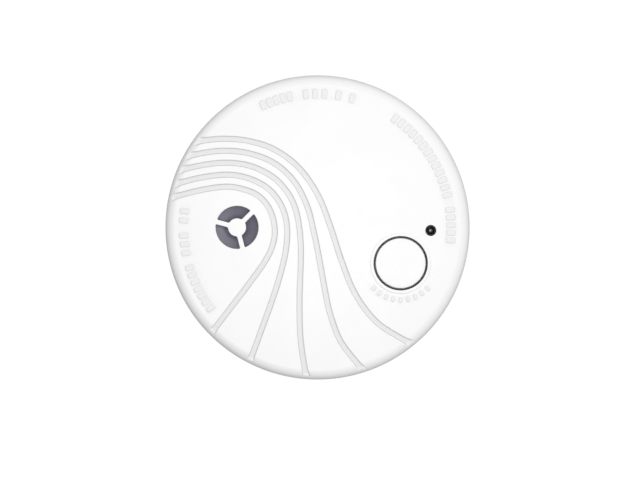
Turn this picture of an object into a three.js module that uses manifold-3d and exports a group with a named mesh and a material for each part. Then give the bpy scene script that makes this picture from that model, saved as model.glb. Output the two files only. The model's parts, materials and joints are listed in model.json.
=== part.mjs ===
// A stand-alone optical smoke alarm with a sealed battery, on its twist-lock mounting base.
// Millimetres. The origin is the centre of the base's ceiling face, and +Z points from the ceiling into
// the room.
// Seen from the room with +Y up, the sounder outlet is on the left and the test button on the lower right.
// Bodies: the mounting base is fixed to the ceiling. The head (everything else) turns in the base's bayonet.
// The test button, with the plunger of the switch under it, and the base switch's pin slide in the head.

import * as THREE from "three";
import { mergeVertices } from "three/addons/utils/BufferGeometryUtils.js";
import Module from "manifold-3d";

const wasm = await Module();
wasm.setup();

const DEGREE = Math.PI / 180;

// ---- Driving dimensions ----

// Front cover: a shallow dome with a rounded rim.
const COVER_RADIUS = 56;
const FACE_TOP = 38;
const DOME_RISE = 1.8;
const RIM_ROUND = 4.0;
const CREASE_RADIUS = COVER_RADIUS - RIM_ROUND;
const WALL = 2;
const COVER_BOTTOM = 23;

// Grooves in the face.
const GROOVE_WIDTH = 2.0;
const GROOVE_FLARE = 0.5;
const GROOVE_DEPTH = 0.7;

// Head: rear housing behind the cover, with the smoke inlet between them.
const BACK_BOTTOM = 8.5;
const BACK_TOP = BACK_BOTTOM + WALL;
const HOUSING_TOP = 17.5;
const HOUSING_RADIUS = 54.3;
const SKIRT_RADIUS = 52.6;
const SKIRT_BOTTOM = 1.2;

// Smoke inlet: a grille of fins between two rings, on the housing and inside the foot of the cover's wall.
const INLET = { radius: 51.7, fins: 80, finLength: 2.8, finThickness: 1.4, ringWidth: 3 };
const INLET_RINGS = { foot: HOUSING_TOP + 0.1, footTop: 18.6, topBottom: 23.6, top: 24.8 };

// Mounting base.
const BASE_RADIUS = 49;
const BASE_FLOOR = 2;
const BASE_WALL_TOP = 7.8;
const BASE_OPENING_RADIUS = 14;
const SCREW_SPACING = 60;
const SCREW_SLOT = { length: 14, width: 4.8 };

// Bayonet: lugs on the head turn under hooks on the base.
const LUG_ANGLES = [50, 170, 290];
const LUG_HALF_ANGLE = 8;
const HOOK_HALF_ANGLE = 9;
const TWIST = 20;

// Face features, seen from the room.
const SOUNDER = { x: -29.5, y: 0, radius: 7.9, hub: 3.3, spoke: 1.7, firstSpoke: 45 };
const BUTTON = { x: 30.45, y: -13.15, radius: 9.15, hole: 9.95, collar: 11.1, collarHeight: 0.35 };
const LED = { x: 41.5, y: -1.15, hole: 2.0 };
const BUTTON_TRAVEL = 1.0;

// Inside.
const BOARD_BOTTOM = 14;
const BOARD_TOP = 15.6;
const BOARD_RADIUS = 46.5;
const SEAT = BOARD_TOP + 0.1;
const CHAMBER = { x: 6, y: 16, radius: 19 };
const BATTERY = { x: -4, y: -31, radius: 8.4, length: 32.5 };
const CASE_SCREWS = [90, 205, 318].map((angle) => onCircle(44, angle));
const BOARD_SCREWS = [[-30, 26], [40, 14], [20, -38]];

// Base switch: a pin that a ramp on the base holds up while the head is locked.
const PIN = { ...xy(onCircle(34, 245)), radius: 1.5, tip: 4.4, angle: 245, orbit: 34, travel: 2 };

// Segments round a circle, by its size.
const ROUND_INLET = 80;
const ROUND_LARGE = 72;
const ROUND_HOUSING = 48;
const ROUND_MEDIUM = 36;
const ROUND_SMALL = 18;

// ---- Finishes ----

const finish = (color, roughness, metalness = 0) =>
  new THREE.MeshStandardMaterial({ color, roughness, metalness });

const FINISHES = {
  whiteShell: finish(0xf4f4f3, 0.42),
  whiteBase: finish(0xeeeeec, 0.5),
  hornGrey: finish(0x55535f, 0.45),
  blackPlastic: finish(0x17171a, 0.5),
  greenBoard: finish(0x1d6b3c, 0.45),
  steel: finish(0xb8babd, 0.3, 1),
  brass: finish(0xc9a54e, 0.3, 1),
  ceramic: finish(0xe8e4d8, 0.6),
  clear: finish(0xd8dde0, 0.1),
  gauze: finish(0x3b3c40, 0.5, 1),
  batteryWrap: finish(0x3a4f8c, 0.35),
  copper: finish(0xb4703a, 0.4, 1),
  label: finish(0xd9dadb, 0.5),
};

// ---- Small geometry helpers ----

function onCircle(radius, angle) {
  return [radius * Math.cos(angle * DEGREE), radius * Math.sin(angle * DEGREE)];
}

function xy([x, y]) {
  return { x, y };
}

// Height of the face's dome at a distance from the axis.
const faceHeight = (r) => FACE_TOP - DOME_RISE * (r / CREASE_RADIUS) ** 2;

// A closed three.js geometry as a manifold solid with its faces pointing out.
function solidOf(geometry) {
  const bare = geometry.index ? geometry.toNonIndexed() : geometry;
  const points = new THREE.BufferGeometry().setAttribute("position", bare.getAttribute("position"));
  const merged = mergeVertices(points, 1e-4);
  const triVerts = new Uint32Array(merged.index.array);
  const vertProperties = merged.attributes.position.array;
  const mesh = () => new wasm.Mesh({ numProp: 3, vertProperties, triVerts });
  const solid = new wasm.Manifold(mesh());
  if (solid.volume() > 0) return solid;
  for (let i = 0; i < triVerts.length; i += 3)
    [triVerts[i + 1], triVerts[i + 2]] = [triVerts[i + 2], triVerts[i + 1]];
  return new wasm.Manifold(mesh());
}

// A manifold solid as a three.js geometry.
function geometryOf(solid) {
  const mesh = solid.getMesh();
  return new THREE.BufferGeometry()
    .setAttribute("position", new THREE.BufferAttribute(mesh.vertProperties, 3))
    .setIndex(new THREE.BufferAttribute(mesh.triVerts, 1));
}

const union = (...solids) => solids.reduce((all, next) => all.add(next));
const without = (body, ...cutters) => cutters.reduce((left, cutter) => left.subtract(cutter), body);

// A solid of revolution about +Z from (radius, height) pairs.
function turned(profile, segments, { x = 0, y = 0 } = {}) {
  const points = profile.map(([r, z]) => new THREE.Vector2(r, z));
  return solidOf(new THREE.LatheGeometry(points, segments).rotateX(Math.PI / 2).translate(x, y, 0));
}

// A closed ring of rectangular section.
const ring = (inner, outer, bottom, top, segments, at) =>
  turned([[inner, bottom], [outer, bottom], [outer, top], [inner, top], [inner, bottom]], segments, at);

// An upright cylinder.
const disc = (radius, bottom, top, segments, at) =>
  turned([[0, bottom], [radius, bottom], [radius, top], [0, top]], segments, at);

// A box from its centre in plan, its size and its height range, turned about its own centre.
function block(x, y, width, depth, bottom, top, angle = 0) {
  const geometry = new THREE.BoxGeometry(width, depth, top - bottom);
  return solidOf(geometry.rotateZ(angle * DEGREE).translate(x, y, (bottom + top) / 2));
}

// A plan outline pulled up from bottom to top.
function prism(outline, bottom, top, curveSegments = 12) {
  const shape = outline instanceof THREE.Shape ? outline : new THREE.Shape(outline);
  const options = { depth: top - bottom, bevelEnabled: false, curveSegments };
  return solidOf(new THREE.ExtrudeGeometry(shape, options).translate(0, 0, bottom));
}

// The plan outline of part of a ring, between two angles in degrees.
function sectorShape(inner, outer, from, to, { x = 0, y = 0 } = {}) {
  const shape = new THREE.Shape();
  shape.absarc(x, y, outer, from * DEGREE, to * DEGREE, false);
  shape.absarc(x, y, inner, to * DEGREE, from * DEGREE, true);
  return shape;
}

// A slot with round ends, its length along +Y.
function slotShape(x, y, length, width) {
  const straight = (length - width) / 2;
  const shape = new THREE.Shape();
  shape.absarc(x, y + straight, width / 2, 0, Math.PI, false);
  shape.absarc(x, y - straight, width / 2, Math.PI, 2 * Math.PI, false);
  return shape;
}

// ---- The five grooves of the face ----

// Centrelines from the left of the rim over the sounder and down to the lower rim, the outermost first.
// Each starts and ends just outside the rim. All five crest at the same place, a groove pitch apart.
const GROOVE_LINES = [
  [[-49, 30.2], [-42, 31.8], [-34, 32.5], [-25, 31.6], [-16, 28.6], [-7.2, 22.2], [0, 12.1], [4.8, 0],
    [8.7, -12], [13.6, -24], [21, -34.1], [29.5, -40], [39, -44.8]],
  [[-52.5, 24.7], [-43, 27.1], [-34, 28.1], [-25, 27.1], [-16, 23.6], [-8.7, 17], [-3.9, 8], [-1.3, -2],
    [0.7, -12], [2.9, -24], [4.7, -32], [8.6, -42], [15.6, -51], [19.2, -55]],
  [[-54.5, 19.8], [-44, 22.5], [-34, 23.7], [-25, 22.6], [-17, 18.9], [-11.9, 14], [-8.5, 8], [-6.7, 0],
    [-6.1, -10], [-6.6, -26], [-6.3, -40], [-4.8, -51], [-3.2, -58]],
  [[-56, 14.5], [-45, 17.8], [-34, 19.3], [-26, 18.2], [-19, 14.9], [-14.4, 10], [-11.8, 4], [-11.1, -3],
    [-12.3, -12], [-15.7, -24], [-20, -36], [-24.4, -48], [-27.4, -56]],
  [[-57, 9.9], [-45, 13.2], [-34, 14.9], [-27, 13.9], [-21.6, 11.5], [-17.6, 6.7], [-15.7, 0], [-16.3, -6],
    [-19, -12], [-24.6, -20], [-33.8, -32], [-41.5, -42]],
].map((line) => line.map(([x, y]) => new THREE.Vector2(x, y)));

const GROOVE_STEPS = 34;

// Outline of one groove in plan. It flares where it runs out through the rim.
function grooveOutline(line) {
  const curve = new THREE.SplineCurve(line);
  const sides = [[], []];
  for (let i = 0; i <= GROOVE_STEPS; i++) {
    const centre = curve.getPointAt(i / GROOVE_STEPS);
    const along = curve.getTangentAt(i / GROOVE_STEPS);
    const past = THREE.MathUtils.smoothstep(centre.length(), CREASE_RADIUS, COVER_RADIUS);
    const half = GROOVE_WIDTH / 2 + GROOVE_FLARE * past;
    sides[0].push(new THREE.Vector2(centre.x - along.y * half, centre.y + along.x * half));
    sides[1].push(new THREE.Vector2(centre.x + along.y * half, centre.y - along.x * half));
  }
  return [...sides[1], ...sides[0].reverse()];
}

// ---- Front cover ----

const DOME_RINGS = [0, 18, 36];

// A solid that fills everything below the dome, lowered by some depth.
function belowDome(depth) {
  const top = [...DOME_RINGS, CREASE_RADIUS, COVER_RADIUS + 4].map((r) => [r, faceHeight(r) - depth]);
  return turned([...top, [COVER_RADIUS + 4, 0], [0, 0]], ROUND_LARGE);
}

function coverShell() {
  const roundCentre = faceHeight(CREASE_RADIUS) - RIM_ROUND;
  const rim = [67.5, 45, 22.5, 0].map((angle) => [
    CREASE_RADIUS + RIM_ROUND * Math.cos(angle * DEGREE),
    roundCentre + RIM_ROUND * Math.sin(angle * DEGREE),
  ]);
  const outside = [...DOME_RINGS, CREASE_RADIUS].map((r) => [r, faceHeight(r)]);
  const inside = [...DOME_RINGS].reverse().map((r) => [r, faceHeight(r) - WALL]);
  const lip = [[COVER_RADIUS - 0.4, COVER_BOTTOM], [COVER_RADIUS - 2.3, COVER_BOTTOM]];
  const innerCorner = [[COVER_RADIUS - WALL, roundCentre], [CREASE_RADIUS, faceHeight(CREASE_RADIUS) - WALL]];
  return turned([...outside, ...rim, ...lip, ...innerCorner, ...inside], ROUND_LARGE);
}

// The three openings of the sounder outlet, between its hub, spokes and edge.
function sounderOpenings() {
  const [bottom, top] = [FACE_TOP - 8, FACE_TOP + 2];
  const openings = ring(SOUNDER.hub, SOUNDER.radius, bottom, top, ROUND_MEDIUM, SOUNDER);
  const spokes = [0, 120, 240].map((step) => {
    const angle = SOUNDER.firstSpoke + step;
    const [dx, dy] = onCircle(SOUNDER.radius / 2, angle);
    const length = SOUNDER.radius + 2;
    return block(SOUNDER.x + dx, SOUNDER.y + dy, length, SOUNDER.spoke, bottom - 1, top + 1, angle);
  });
  return without(openings, ...spokes);
}

// Features hung from the cover's inner face. The bosses meet those of the rear housing at a split.
const BUTTON_SLEEVE = { inner: 11.0, outer: 12.2, bottom: 27.4 };
const SOUNDER_WALL = { inner: 15.6, outer: 16.8, bottom: 29 };
const BOSS = { coverRadius: 3.4, housingRadius: 4.2, split: 18.5, gap: 0.1, pilotTop: 33 };
const CASE_SCREW = { shank: 1.25, head: 2.7, headBottom: 9.2, headTop: 11.2, tip: 31 };
const ABOVE_FACE = FACE_TOP + 4;

function hungRing({ inner, outer, bottom }, at) {
  return ring(inner, outer, bottom, FACE_TOP, ROUND_MEDIUM, at).intersect(belowDome(WALL / 2));
}

function coverBoss([x, y]) {
  const top = faceHeight(Math.hypot(x, y)) - WALL / 2;
  return disc(BOSS.coverRadius, BOSS.split + BOSS.gap, top, ROUND_SMALL, { x, y });
}

function frontCover() {
  const collarTop = belowDome(-BUTTON.collarHeight);
  const collar = ring(BUTTON.hole, BUTTON.collar, FACE_TOP - WALL, ABOVE_FACE, ROUND_MEDIUM, BUTTON);
  const grooves = GROOVE_LINES.map((line) =>
    prism(grooveOutline(line), COVER_BOTTOM, ABOVE_FACE).subtract(belowDome(GROOVE_DEPTH)));
  const pilots = CASE_SCREWS.map(([x, y]) =>
    disc(CASE_SCREW.shank + 0.2, BOSS.split - 1, BOSS.pilotTop, ROUND_SMALL, { x, y }));
  return without(
    union(
      coverShell(),
      collar.intersect(collarTop),
      hungRing(BUTTON_SLEEVE, BUTTON),
      hungRing(SOUNDER_WALL, SOUNDER),
      ...CASE_SCREWS.map(coverBoss),
    ),
    ...grooves,
    ...pilots,
    sounderOpenings(),
    disc(BUTTON.hole, BUTTON_SLEEVE.bottom, ABOVE_FACE, ROUND_MEDIUM, BUTTON),
    disc(LED.hole, BUTTON_SLEEVE.bottom, ABOVE_FACE, ROUND_SMALL, LED),
  );
}

// ---- Rear housing ----

const PIN_GUIDE = { radius: 4, bottom: 5.9, shelf: 7.6, bore: 1.8, counterbore: 2.9 };
const BOARD_POST = { radius: 2.8, pilot: 1.2 };
const LUG = { inner: 40.5, foot: 42, post: 43, tip: 46, bottom: 4.4, footTop: 5.9 };

// One bayonet lug: a post under the back plate with a foot that points outwards.
function lug(angle) {
  const span = [angle - LUG_HALF_ANGLE, angle + LUG_HALF_ANGLE];
  const post = prism(sectorShape(LUG.inner, LUG.post, ...span), LUG.bottom, BACK_BOTTOM + 0.5, 4);
  const foot = prism(sectorShape(LUG.foot, LUG.tip, ...span), LUG.bottom, LUG.footTop, 4);
  return union(post, foot);
}

function rearHousing() {
  const shell = turned(
    [
      [0, BACK_BOTTOM], [SKIRT_RADIUS - 1.9, BACK_BOTTOM], [SKIRT_RADIUS - 1.9, SKIRT_BOTTOM],
      [SKIRT_RADIUS, SKIRT_BOTTOM], [HOUSING_RADIUS, HOUSING_TOP - 3], [HOUSING_RADIUS, HOUSING_TOP],
      [HOUSING_RADIUS - 4.3, HOUSING_TOP], [HOUSING_RADIUS - 4.3, BACK_TOP], [0, BACK_TOP],
    ],
    ROUND_HOUSING,
  );
  const rooted = BACK_BOTTOM + 0.5;
  const through = [BACK_BOTTOM - 1, BOSS.split + 1];
  const at = (spots, radius, bottom, top) =>
    spots.map(([x, y]) => disc(radius, bottom, top, ROUND_SMALL, { x, y }));
  return without(
    union(
      shell,
      ...at(CASE_SCREWS, BOSS.housingRadius, rooted, BOSS.split - BOSS.gap),
      ...at(BOARD_SCREWS, BOARD_POST.radius, rooted, BOARD_BOTTOM - 0.1),
      disc(PIN_GUIDE.radius, PIN_GUIDE.bottom, BACK_TOP, ROUND_SMALL, PIN),
      ...LUG_ANGLES.map(lug),
    ),
    ...at(CASE_SCREWS, CASE_SCREW.shank + 0.5, ...through),
    ...at(CASE_SCREWS, CASE_SCREW.head + 0.3, BACK_BOTTOM - 1, CASE_SCREW.headTop + 0.1),
    ...at(BOARD_SCREWS, BOARD_POST.pilot, BACK_TOP, BOARD_TOP),
    disc(PIN_GUIDE.bore, PIN_GUIDE.bottom - 1, BACK_TOP + 1, ROUND_SMALL, PIN),
    disc(PIN_GUIDE.counterbore, PIN_GUIDE.shelf, BACK_TOP + 1, ROUND_SMALL, PIN),
  );
}

// ---- Inlet grille ----

function inletGrille() {
  const { foot, footTop, topBottom, top } = INLET_RINGS;
  const fins = Array.from({ length: INLET.fins }, (_, i) => {
    const angle = (i * 360) / INLET.fins;
    const [x, y] = onCircle(INLET.radius, angle);
    return block(x, y, INLET.finLength, INLET.finThickness, footTop - 0.4, topBottom + 0.4, angle);
  });
  const [inner, outer] = [INLET.radius - INLET.ringWidth / 2, INLET.radius + INLET.ringWidth / 2];
  const lower = ring(inner, outer, foot, footTop, ROUND_INLET);
  const upper = ring(inner, outer, topBottom, top, ROUND_INLET);
  return union(lower, upper, ...fins);
}

// ---- Mounting base ----

const HOOK = { inner: 43.4, outer: 47.5, bottom: 6.2, back: 12, stopBack: 8.6, stopTop: 7 };

// One bayonet hook: a ledge inside the base's wall, with a stop at the end that the lug turns against.
function hook(angle) {
  const ledge = sectorShape(HOOK.inner, HOOK.outer, angle - HOOK.back, angle + HOOK_HALF_ANGLE);
  const stop = sectorShape(HOOK.inner, HOOK.outer, angle - HOOK.back, angle - HOOK.stopBack);
  return union(
    prism(ledge, HOOK.bottom, BASE_WALL_TOP, 5),
    prism(stop, BASE_FLOOR - 0.5, HOOK.stopTop, 2),
  );
}

const RAMP = { halfWidth: 2.5, runOn: 6, gap: 0.3 };

// The ramp under the base switch's pin. Its top falls by the pin's travel over the twist.
function pinRamp() {
  const outline = sectorShape(
    PIN.orbit - RAMP.halfWidth,
    PIN.orbit + RAMP.halfWidth,
    PIN.angle - RAMP.runOn,
    PIN.angle + TWIST + RAMP.runOn,
  );
  const geometry = new THREE.ExtrudeGeometry(outline, { depth: 1, bevelEnabled: false, curveSegments: 16 });
  const points = geometry.getAttribute("position");
  for (let i = 0; i < points.count; i++) {
    const angle = (Math.atan2(points.getY(i), points.getX(i)) / DEGREE + 360) % 360;
    const turn = THREE.MathUtils.clamp((angle - PIN.angle) / TWIST, 0, 1);
    const top = PIN.tip - RAMP.gap - PIN.travel * turn;
    points.setZ(i, points.getZ(i) > 0.5 ? top : BASE_FLOOR - 0.5);
  }
  return solidOf(geometry);
}

function mountingBase() {
  const pan = turned(
    [
      [0, 0], [BASE_RADIUS, 0], [BASE_RADIUS, BASE_WALL_TOP], [BASE_RADIUS - 2, BASE_WALL_TOP],
      [BASE_RADIUS - 2, BASE_FLOOR], [0, BASE_FLOOR],
    ],
    ROUND_LARGE,
  );
  const bezel = ring(BASE_OPENING_RADIUS, BASE_OPENING_RADIUS + 1.6, BASE_FLOOR - 0.5, 4, ROUND_MEDIUM);
  const slots = [-1, 1].map((side) =>
    prism(slotShape((side * SCREW_SPACING) / 2, 0, SCREW_SLOT.length, SCREW_SLOT.width), -1, 6, 8));
  return without(
    union(pan, bezel, pinRamp(), ...LUG_ANGLES.map(hook)),
    disc(BASE_OPENING_RADIUS, -1, 6, ROUND_MEDIUM),
    ...slots,
  );
}

// ---- Test button ----

const BUTTON_FLANGE = { radius: 10.6, top: 33.6, bottom: 32.4 };
const BUTTON_ROOF = 34.8;
const BUTTON_WALL = 1.8;
const BUTTON_PROUD = 0.15;
const STEM = { radius: 1.9, bottom: 21.05 };
const SPRING = { radius: 4.2, wire: 0.45, turns: 5, bottom: 29.4, top: 34.3 };

function testButton() {
  const { radius, bottom, top } = BUTTON_FLANGE;
  const pillar = disc(BUTTON.radius, bottom, ABOVE_FACE, ROUND_MEDIUM, BUTTON);
  const hollow = disc(BUTTON.radius - BUTTON_WALL, bottom - 1, BUTTON_ROOF, ROUND_MEDIUM, BUTTON);
  const cap = without(pillar.intersect(belowDome(-BUTTON_PROUD)), hollow);
  const flange = ring(BUTTON.radius - 1, radius, bottom, top, ROUND_MEDIUM, BUTTON);
  const stem = disc(STEM.radius, STEM.bottom, BUTTON_ROOF + 1, ROUND_SMALL, BUTTON);
  return union(cap, flange, stem);
}

// Black ring that lines the button's hole. Its foot lies under the cover, over the button's flange.
const BUTTON_RING = { inner: 9.45, outer: 9.85, foot: 10.7, footBottom: 33.9, footTop: 34.5, sunk: 0.5 };

function buttonRing() {
  const { inner, outer, foot, footBottom, footTop, sunk } = BUTTON_RING;
  const liner = ring(inner, outer, footBottom, FACE_TOP, ROUND_MEDIUM, BUTTON).intersect(belowDome(sunk));
  return union(liner, ring(inner, foot, footBottom, footTop, ROUND_MEDIUM, BUTTON));
}

// Return spring round the button's stem, with its ends closed up by the helix itself.
class Helix extends THREE.Curve {
  getPoint(t) {
    const angle = t * SPRING.turns * 2 * Math.PI;
    return new THREE.Vector3(
      BUTTON.x + SPRING.radius * Math.cos(angle),
      BUTTON.y + SPRING.radius * Math.sin(angle),
      SPRING.bottom + (SPRING.top - SPRING.bottom) * t,
    );
  }
}

function buttonSpring() {
  const wire = new THREE.Shape();
  wire.absarc(0, 0, SPRING.wire / 2, 0, 2 * Math.PI);
  const steps = SPRING.turns * 10;
  const geometry = new THREE.ExtrudeGeometry(wire, { steps, extrudePath: new Helix(), curveSegments: 3 });
  return solidOf(geometry);
}

// A plate in the bottom of the cover's sleeve, which the spring stands on.
const buttonRetainer = () => ring(2.5, 10.7, 27.6, 28.9, ROUND_MEDIUM, BUTTON);

// ---- Switch under the button ----

function tactSwitch() {
  const body = block(BUTTON.x, BUTTON.y, 6, 6, SEAT, 19.2);
  return without(body, disc(1.95, 16.7, 20, ROUND_SMALL, BUTTON));
}

const tactSwitchPlunger = () => disc(1.75, 18, 21, ROUND_SMALL, BUTTON);

// ---- Status light ----

// A black sleeve in the cover's hole with a clear light guide down its middle, above the lamp on the board.
function ledSleeve() {
  return turned(
    [
      [1.25, 30], [1.8, 30], [1.8, 33.2], [3, 33.2], [3, 34.3], [1.8, 34.3], [1.8, 36.7], [1.25, 36.3],
      [1.25, 30],
    ],
    ROUND_SMALL,
    LED,
  );
}

const lightGuide = () =>
  turned([[0, 20], [1.05, 20], [1.05, 35.6], [0.75, 36], [0, 36.15]], ROUND_SMALL, LED);

const statusLed = () =>
  turned(
    [[0, SEAT], [1.9, SEAT], [1.9, 16.5], [1.5, 16.5], [1.5, 18.4], [0.8, 19.4], [0, 19.6]],
    ROUND_SMALL,
    LED,
  );

// ---- Sounder ----

const PIEZO_TOP = 29.1;

// A resonator that stands on the board: a cup whose top is dished down to a vent behind the cover's hub.
function sounderHorn() {
  return turned(
    [
      [2.5, 30.4], [12, 32.2], [13.8, 32.2], [13.8, 30.2], [12, 30.2], [12, PIEZO_TOP + 0.1],
      [13.8, PIEZO_TOP + 0.1], [13.8, SEAT], [15, SEAT], [15, 33.4], [12, 33.4], [2.5, 31.4], [2.5, 30.4],
    ],
    ROUND_MEDIUM,
    SOUNDER,
  );
}

const piezoPlate = () => disc(13.5, PIEZO_TOP - 0.4, PIEZO_TOP, ROUND_MEDIUM, SOUNDER);
const piezoCeramic = () => disc(10, PIEZO_TOP - 0.8, PIEZO_TOP - 0.5, ROUND_MEDIUM, SOUNDER);

// Spring contacts from the board: two under the ceramic, one under the brass rim.
const CONTACTS = [
  { distance: 4, angle: 60, top: PIEZO_TOP - 0.9 },
  { distance: 8, angle: 180, top: PIEZO_TOP - 0.9 },
  { distance: 12, angle: 300, top: PIEZO_TOP - 0.5 },
];

function sounderContact({ distance, angle, top }) {
  const [dx, dy] = onCircle(distance, angle);
  const at = { x: SOUNDER.x + dx, y: SOUNDER.y + dy };
  return turned([[0, SEAT], [1.3, SEAT], [1.3, 18.5], [0.6, 19], [0.6, top], [0, top]], 12, at);
}

// ---- Optical smoke chamber ----

const CHAMBER_FLOOR = 17.7;
const CHAMBER_VANE_TOP = 27.8;
const OPTICS_HEIGHT = 22.3;
const EMITTER_ANGLE = 200;
const DETECTOR_ANGLE = 320;
const VANE_COUNT = 18;

const chamberPoint = (distance, angle) => {
  const [dx, dy] = onCircle(distance, angle);
  return [CHAMBER.x + dx, CHAMBER.y + dy];
};

// The labyrinth: a floor with slanted vanes that stop light but let smoke in, and two blocks for the optics.
function chamberBase() {
  const floor = disc(CHAMBER.radius, SEAT, CHAMBER_FLOOR, ROUND_MEDIUM, CHAMBER);
  const vaneAngles = Array.from({ length: VANE_COUNT }, (_, i) => (i * 360) / VANE_COUNT).filter((angle) =>
    [EMITTER_ANGLE, DETECTOR_ANGLE].every((optic) => Math.abs(angle - optic) > 21));
  const vanes = vaneAngles.map((angle) => {
    const [x, y] = chamberPoint(15, angle);
    return block(x, y, 6.5, 1, CHAMBER_FLOOR - 0.5, CHAMBER_VANE_TOP, angle + 45);
  });
  const blocks = [EMITTER_ANGLE, DETECTOR_ANGLE].map((angle) => {
    const [x, y] = chamberPoint(13.5, angle);
    return block(x, y, 7, 6, CHAMBER_FLOOR - 0.5, OPTICS_HEIGHT - 2.7, angle);
  });
  return union(floor, ...vanes, ...blocks);
}

// The lid closes the labyrinth and laps over the gauze.
function chamberCap() {
  return turned(
    [
      [0, 28], [19.2, 28], [19.2, 28.6], [20.1, 28.6], [20.1, 26.6], [21, 26.6], [21, 30], [20, 30.6],
      [0, 30.6],
    ],
    ROUND_MEDIUM,
    CHAMBER,
  );
}

const insectGauze = () => ring(19.5, 19.9, SEAT, 28.3, ROUND_MEDIUM, CHAMBER);

// A 5 mm optical part that lies on its block and points at the chamber's middle.
function opticalPart(angle) {
  const profile = [[0, -4.5], [2.5, -4.5], [2.5, 2], [1.6, 3.9], [0, 4.5]];
  const points = profile.map(([r, z]) => new THREE.Vector2(r, z));
  const [x, y] = chamberPoint(13.5, angle);
  const geometry = new THREE.LatheGeometry(points, ROUND_SMALL)
    .rotateZ(Math.PI / 2)
    .rotateZ(angle * DEGREE)
    .translate(x, y, OPTICS_HEIGHT);
  return solidOf(geometry);
}

// ---- Board and its parts ----

function circuitBoard() {
  const notches = CASE_SCREWS.map(([x, y]) => disc(4.7, 13, 17, ROUND_SMALL, { x, y }));
  const holes = BOARD_SCREWS.map(([x, y]) => disc(1.3, 13, 17, ROUND_SMALL, { x, y }));
  return without(disc(BOARD_RADIUS, BOARD_BOTTOM, BOARD_TOP, ROUND_LARGE), ...notches, ...holes);
}

const microcontroller = () => block(4, -12, 7, 7, SEAT, 17);

const capacitor = () =>
  turned([[0, SEAT], [3.2, SEAT], [3.2, 23.4], [2.9, 23.8], [0, 23.8]], ROUND_SMALL, { x: 15, y: -13 });

const hornCoil = () =>
  turned(
    [[0, SEAT], [4.2, SEAT], [4.2, 17], [3.2, 17.6], [3.2, 21.6], [4.2, 22.2], [4.2, 23.2], [0, 23.2]],
    ROUND_SMALL,
    { x: -11, y: -13 },
  );

// ---- Battery ----

const BATTERY_AXIS = SEAT + 0.2 + BATTERY.radius;

// A cell on its side, with the raised pole at its right end.
function battery() {
  const half = BATTERY.length / 2;
  const points = [
    [0, -half], [7.6, -half], [BATTERY.radius, -half + 0.8], [BATTERY.radius, half - 0.8], [7.6, half],
    [3.2, half], [3.2, half + 1.3], [0, half + 1.3],
  ].map(([r, z]) => new THREE.Vector2(r, z));
  const geometry = new THREE.LatheGeometry(points, ROUND_MEDIUM).rotateZ(-Math.PI / 2);
  return solidOf(geometry.translate(BATTERY.x, BATTERY.y, BATTERY_AXIS));
}

// A saddle on the board that the cell lies in.
function batteryCradle() {
  const body = block(BATTERY.x, BATTERY.y, 22, 18.4, SEAT, 21);
  const bed = new THREE.CylinderGeometry(BATTERY.radius + 0.15, BATTERY.radius + 0.15, 40, ROUND_MEDIUM);
  return without(body, solidOf(bed.rotateZ(Math.PI / 2).translate(BATTERY.x, BATTERY.y, BATTERY_AXIS)));
}

// A welded strip from one end of the cell down to the board. side is 1 at the raised pole, -1 at the other.
function batteryTab(side) {
  const end = side > 0 ? BATTERY.length / 2 + 1.4 : BATTERY.length / 2 + 0.1;
  const upright = block(BATTERY.x + side * (end + 0.15), BATTERY.y, 0.3, 5, SEAT, BATTERY_AXIS + 2.5);
  const foot = block(BATTERY.x + side * (end + 1.6), BATTERY.y, 3.2, 5, SEAT, SEAT + 0.3);
  return union(upright, foot);
}

// ---- Base switch ----

const baseSwitch = () => block(PIN.x, PIN.y, 6, 6, 12.5, BOARD_BOTTOM - 0.1, PIN.angle);

function baseSwitchPin() {
  return turned(
    [
      [0, PIN.tip], [0.8, PIN.tip + 0.2], [1.35, PIN.tip + 0.7], [PIN.radius, PIN.tip + 1.3],
      [PIN.radius, 10], [2.5, 10], [2.5, 11.2], [1.2, 11.2], [1.2, 12.3], [0, 12.3],
    ],
    ROUND_SMALL,
    PIN,
  );
}

// ---- Fasteners and label ----

const caseScrew = ([x, y]) =>
  turned(
    [
      [0, CASE_SCREW.headBottom + 0.9], [1, CASE_SCREW.headBottom],
      [CASE_SCREW.head - 0.3, CASE_SCREW.headBottom],
      [CASE_SCREW.head, CASE_SCREW.headBottom + 0.5], [CASE_SCREW.head, CASE_SCREW.headTop],
      [CASE_SCREW.shank, CASE_SCREW.headTop], [CASE_SCREW.shank, CASE_SCREW.tip - 1], [0, CASE_SCREW.tip],
    ],
    ROUND_SMALL,
    { x, y },
  );

const boardScrew = ([x, y]) =>
  turned(
    [[0, 11], [1, 11.6], [1, SEAT], [2.3, SEAT], [2.3, 16.7], [1.8, 17.2], [0, 17.2]],
    ROUND_SMALL,
    { x, y },
  );

const ratingLabel = () => disc(12.5, BACK_BOTTOM - 0.3, BACK_BOTTOM - 0.05, ROUND_MEDIUM);

// ---- Assembly ----

function body(name, parts) {
  const group = new THREE.Group();
  group.name = name;
  for (const [node, solid, material] of parts) {
    const mesh = new THREE.Mesh(geometryOf(solid), material);
    mesh.name = node;
    group.add(mesh);
  }
  return group;
}

const F = FINISHES;

const base = body("base_body", [["mounting_base", mountingBase(), F.whiteBase]]);

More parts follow.
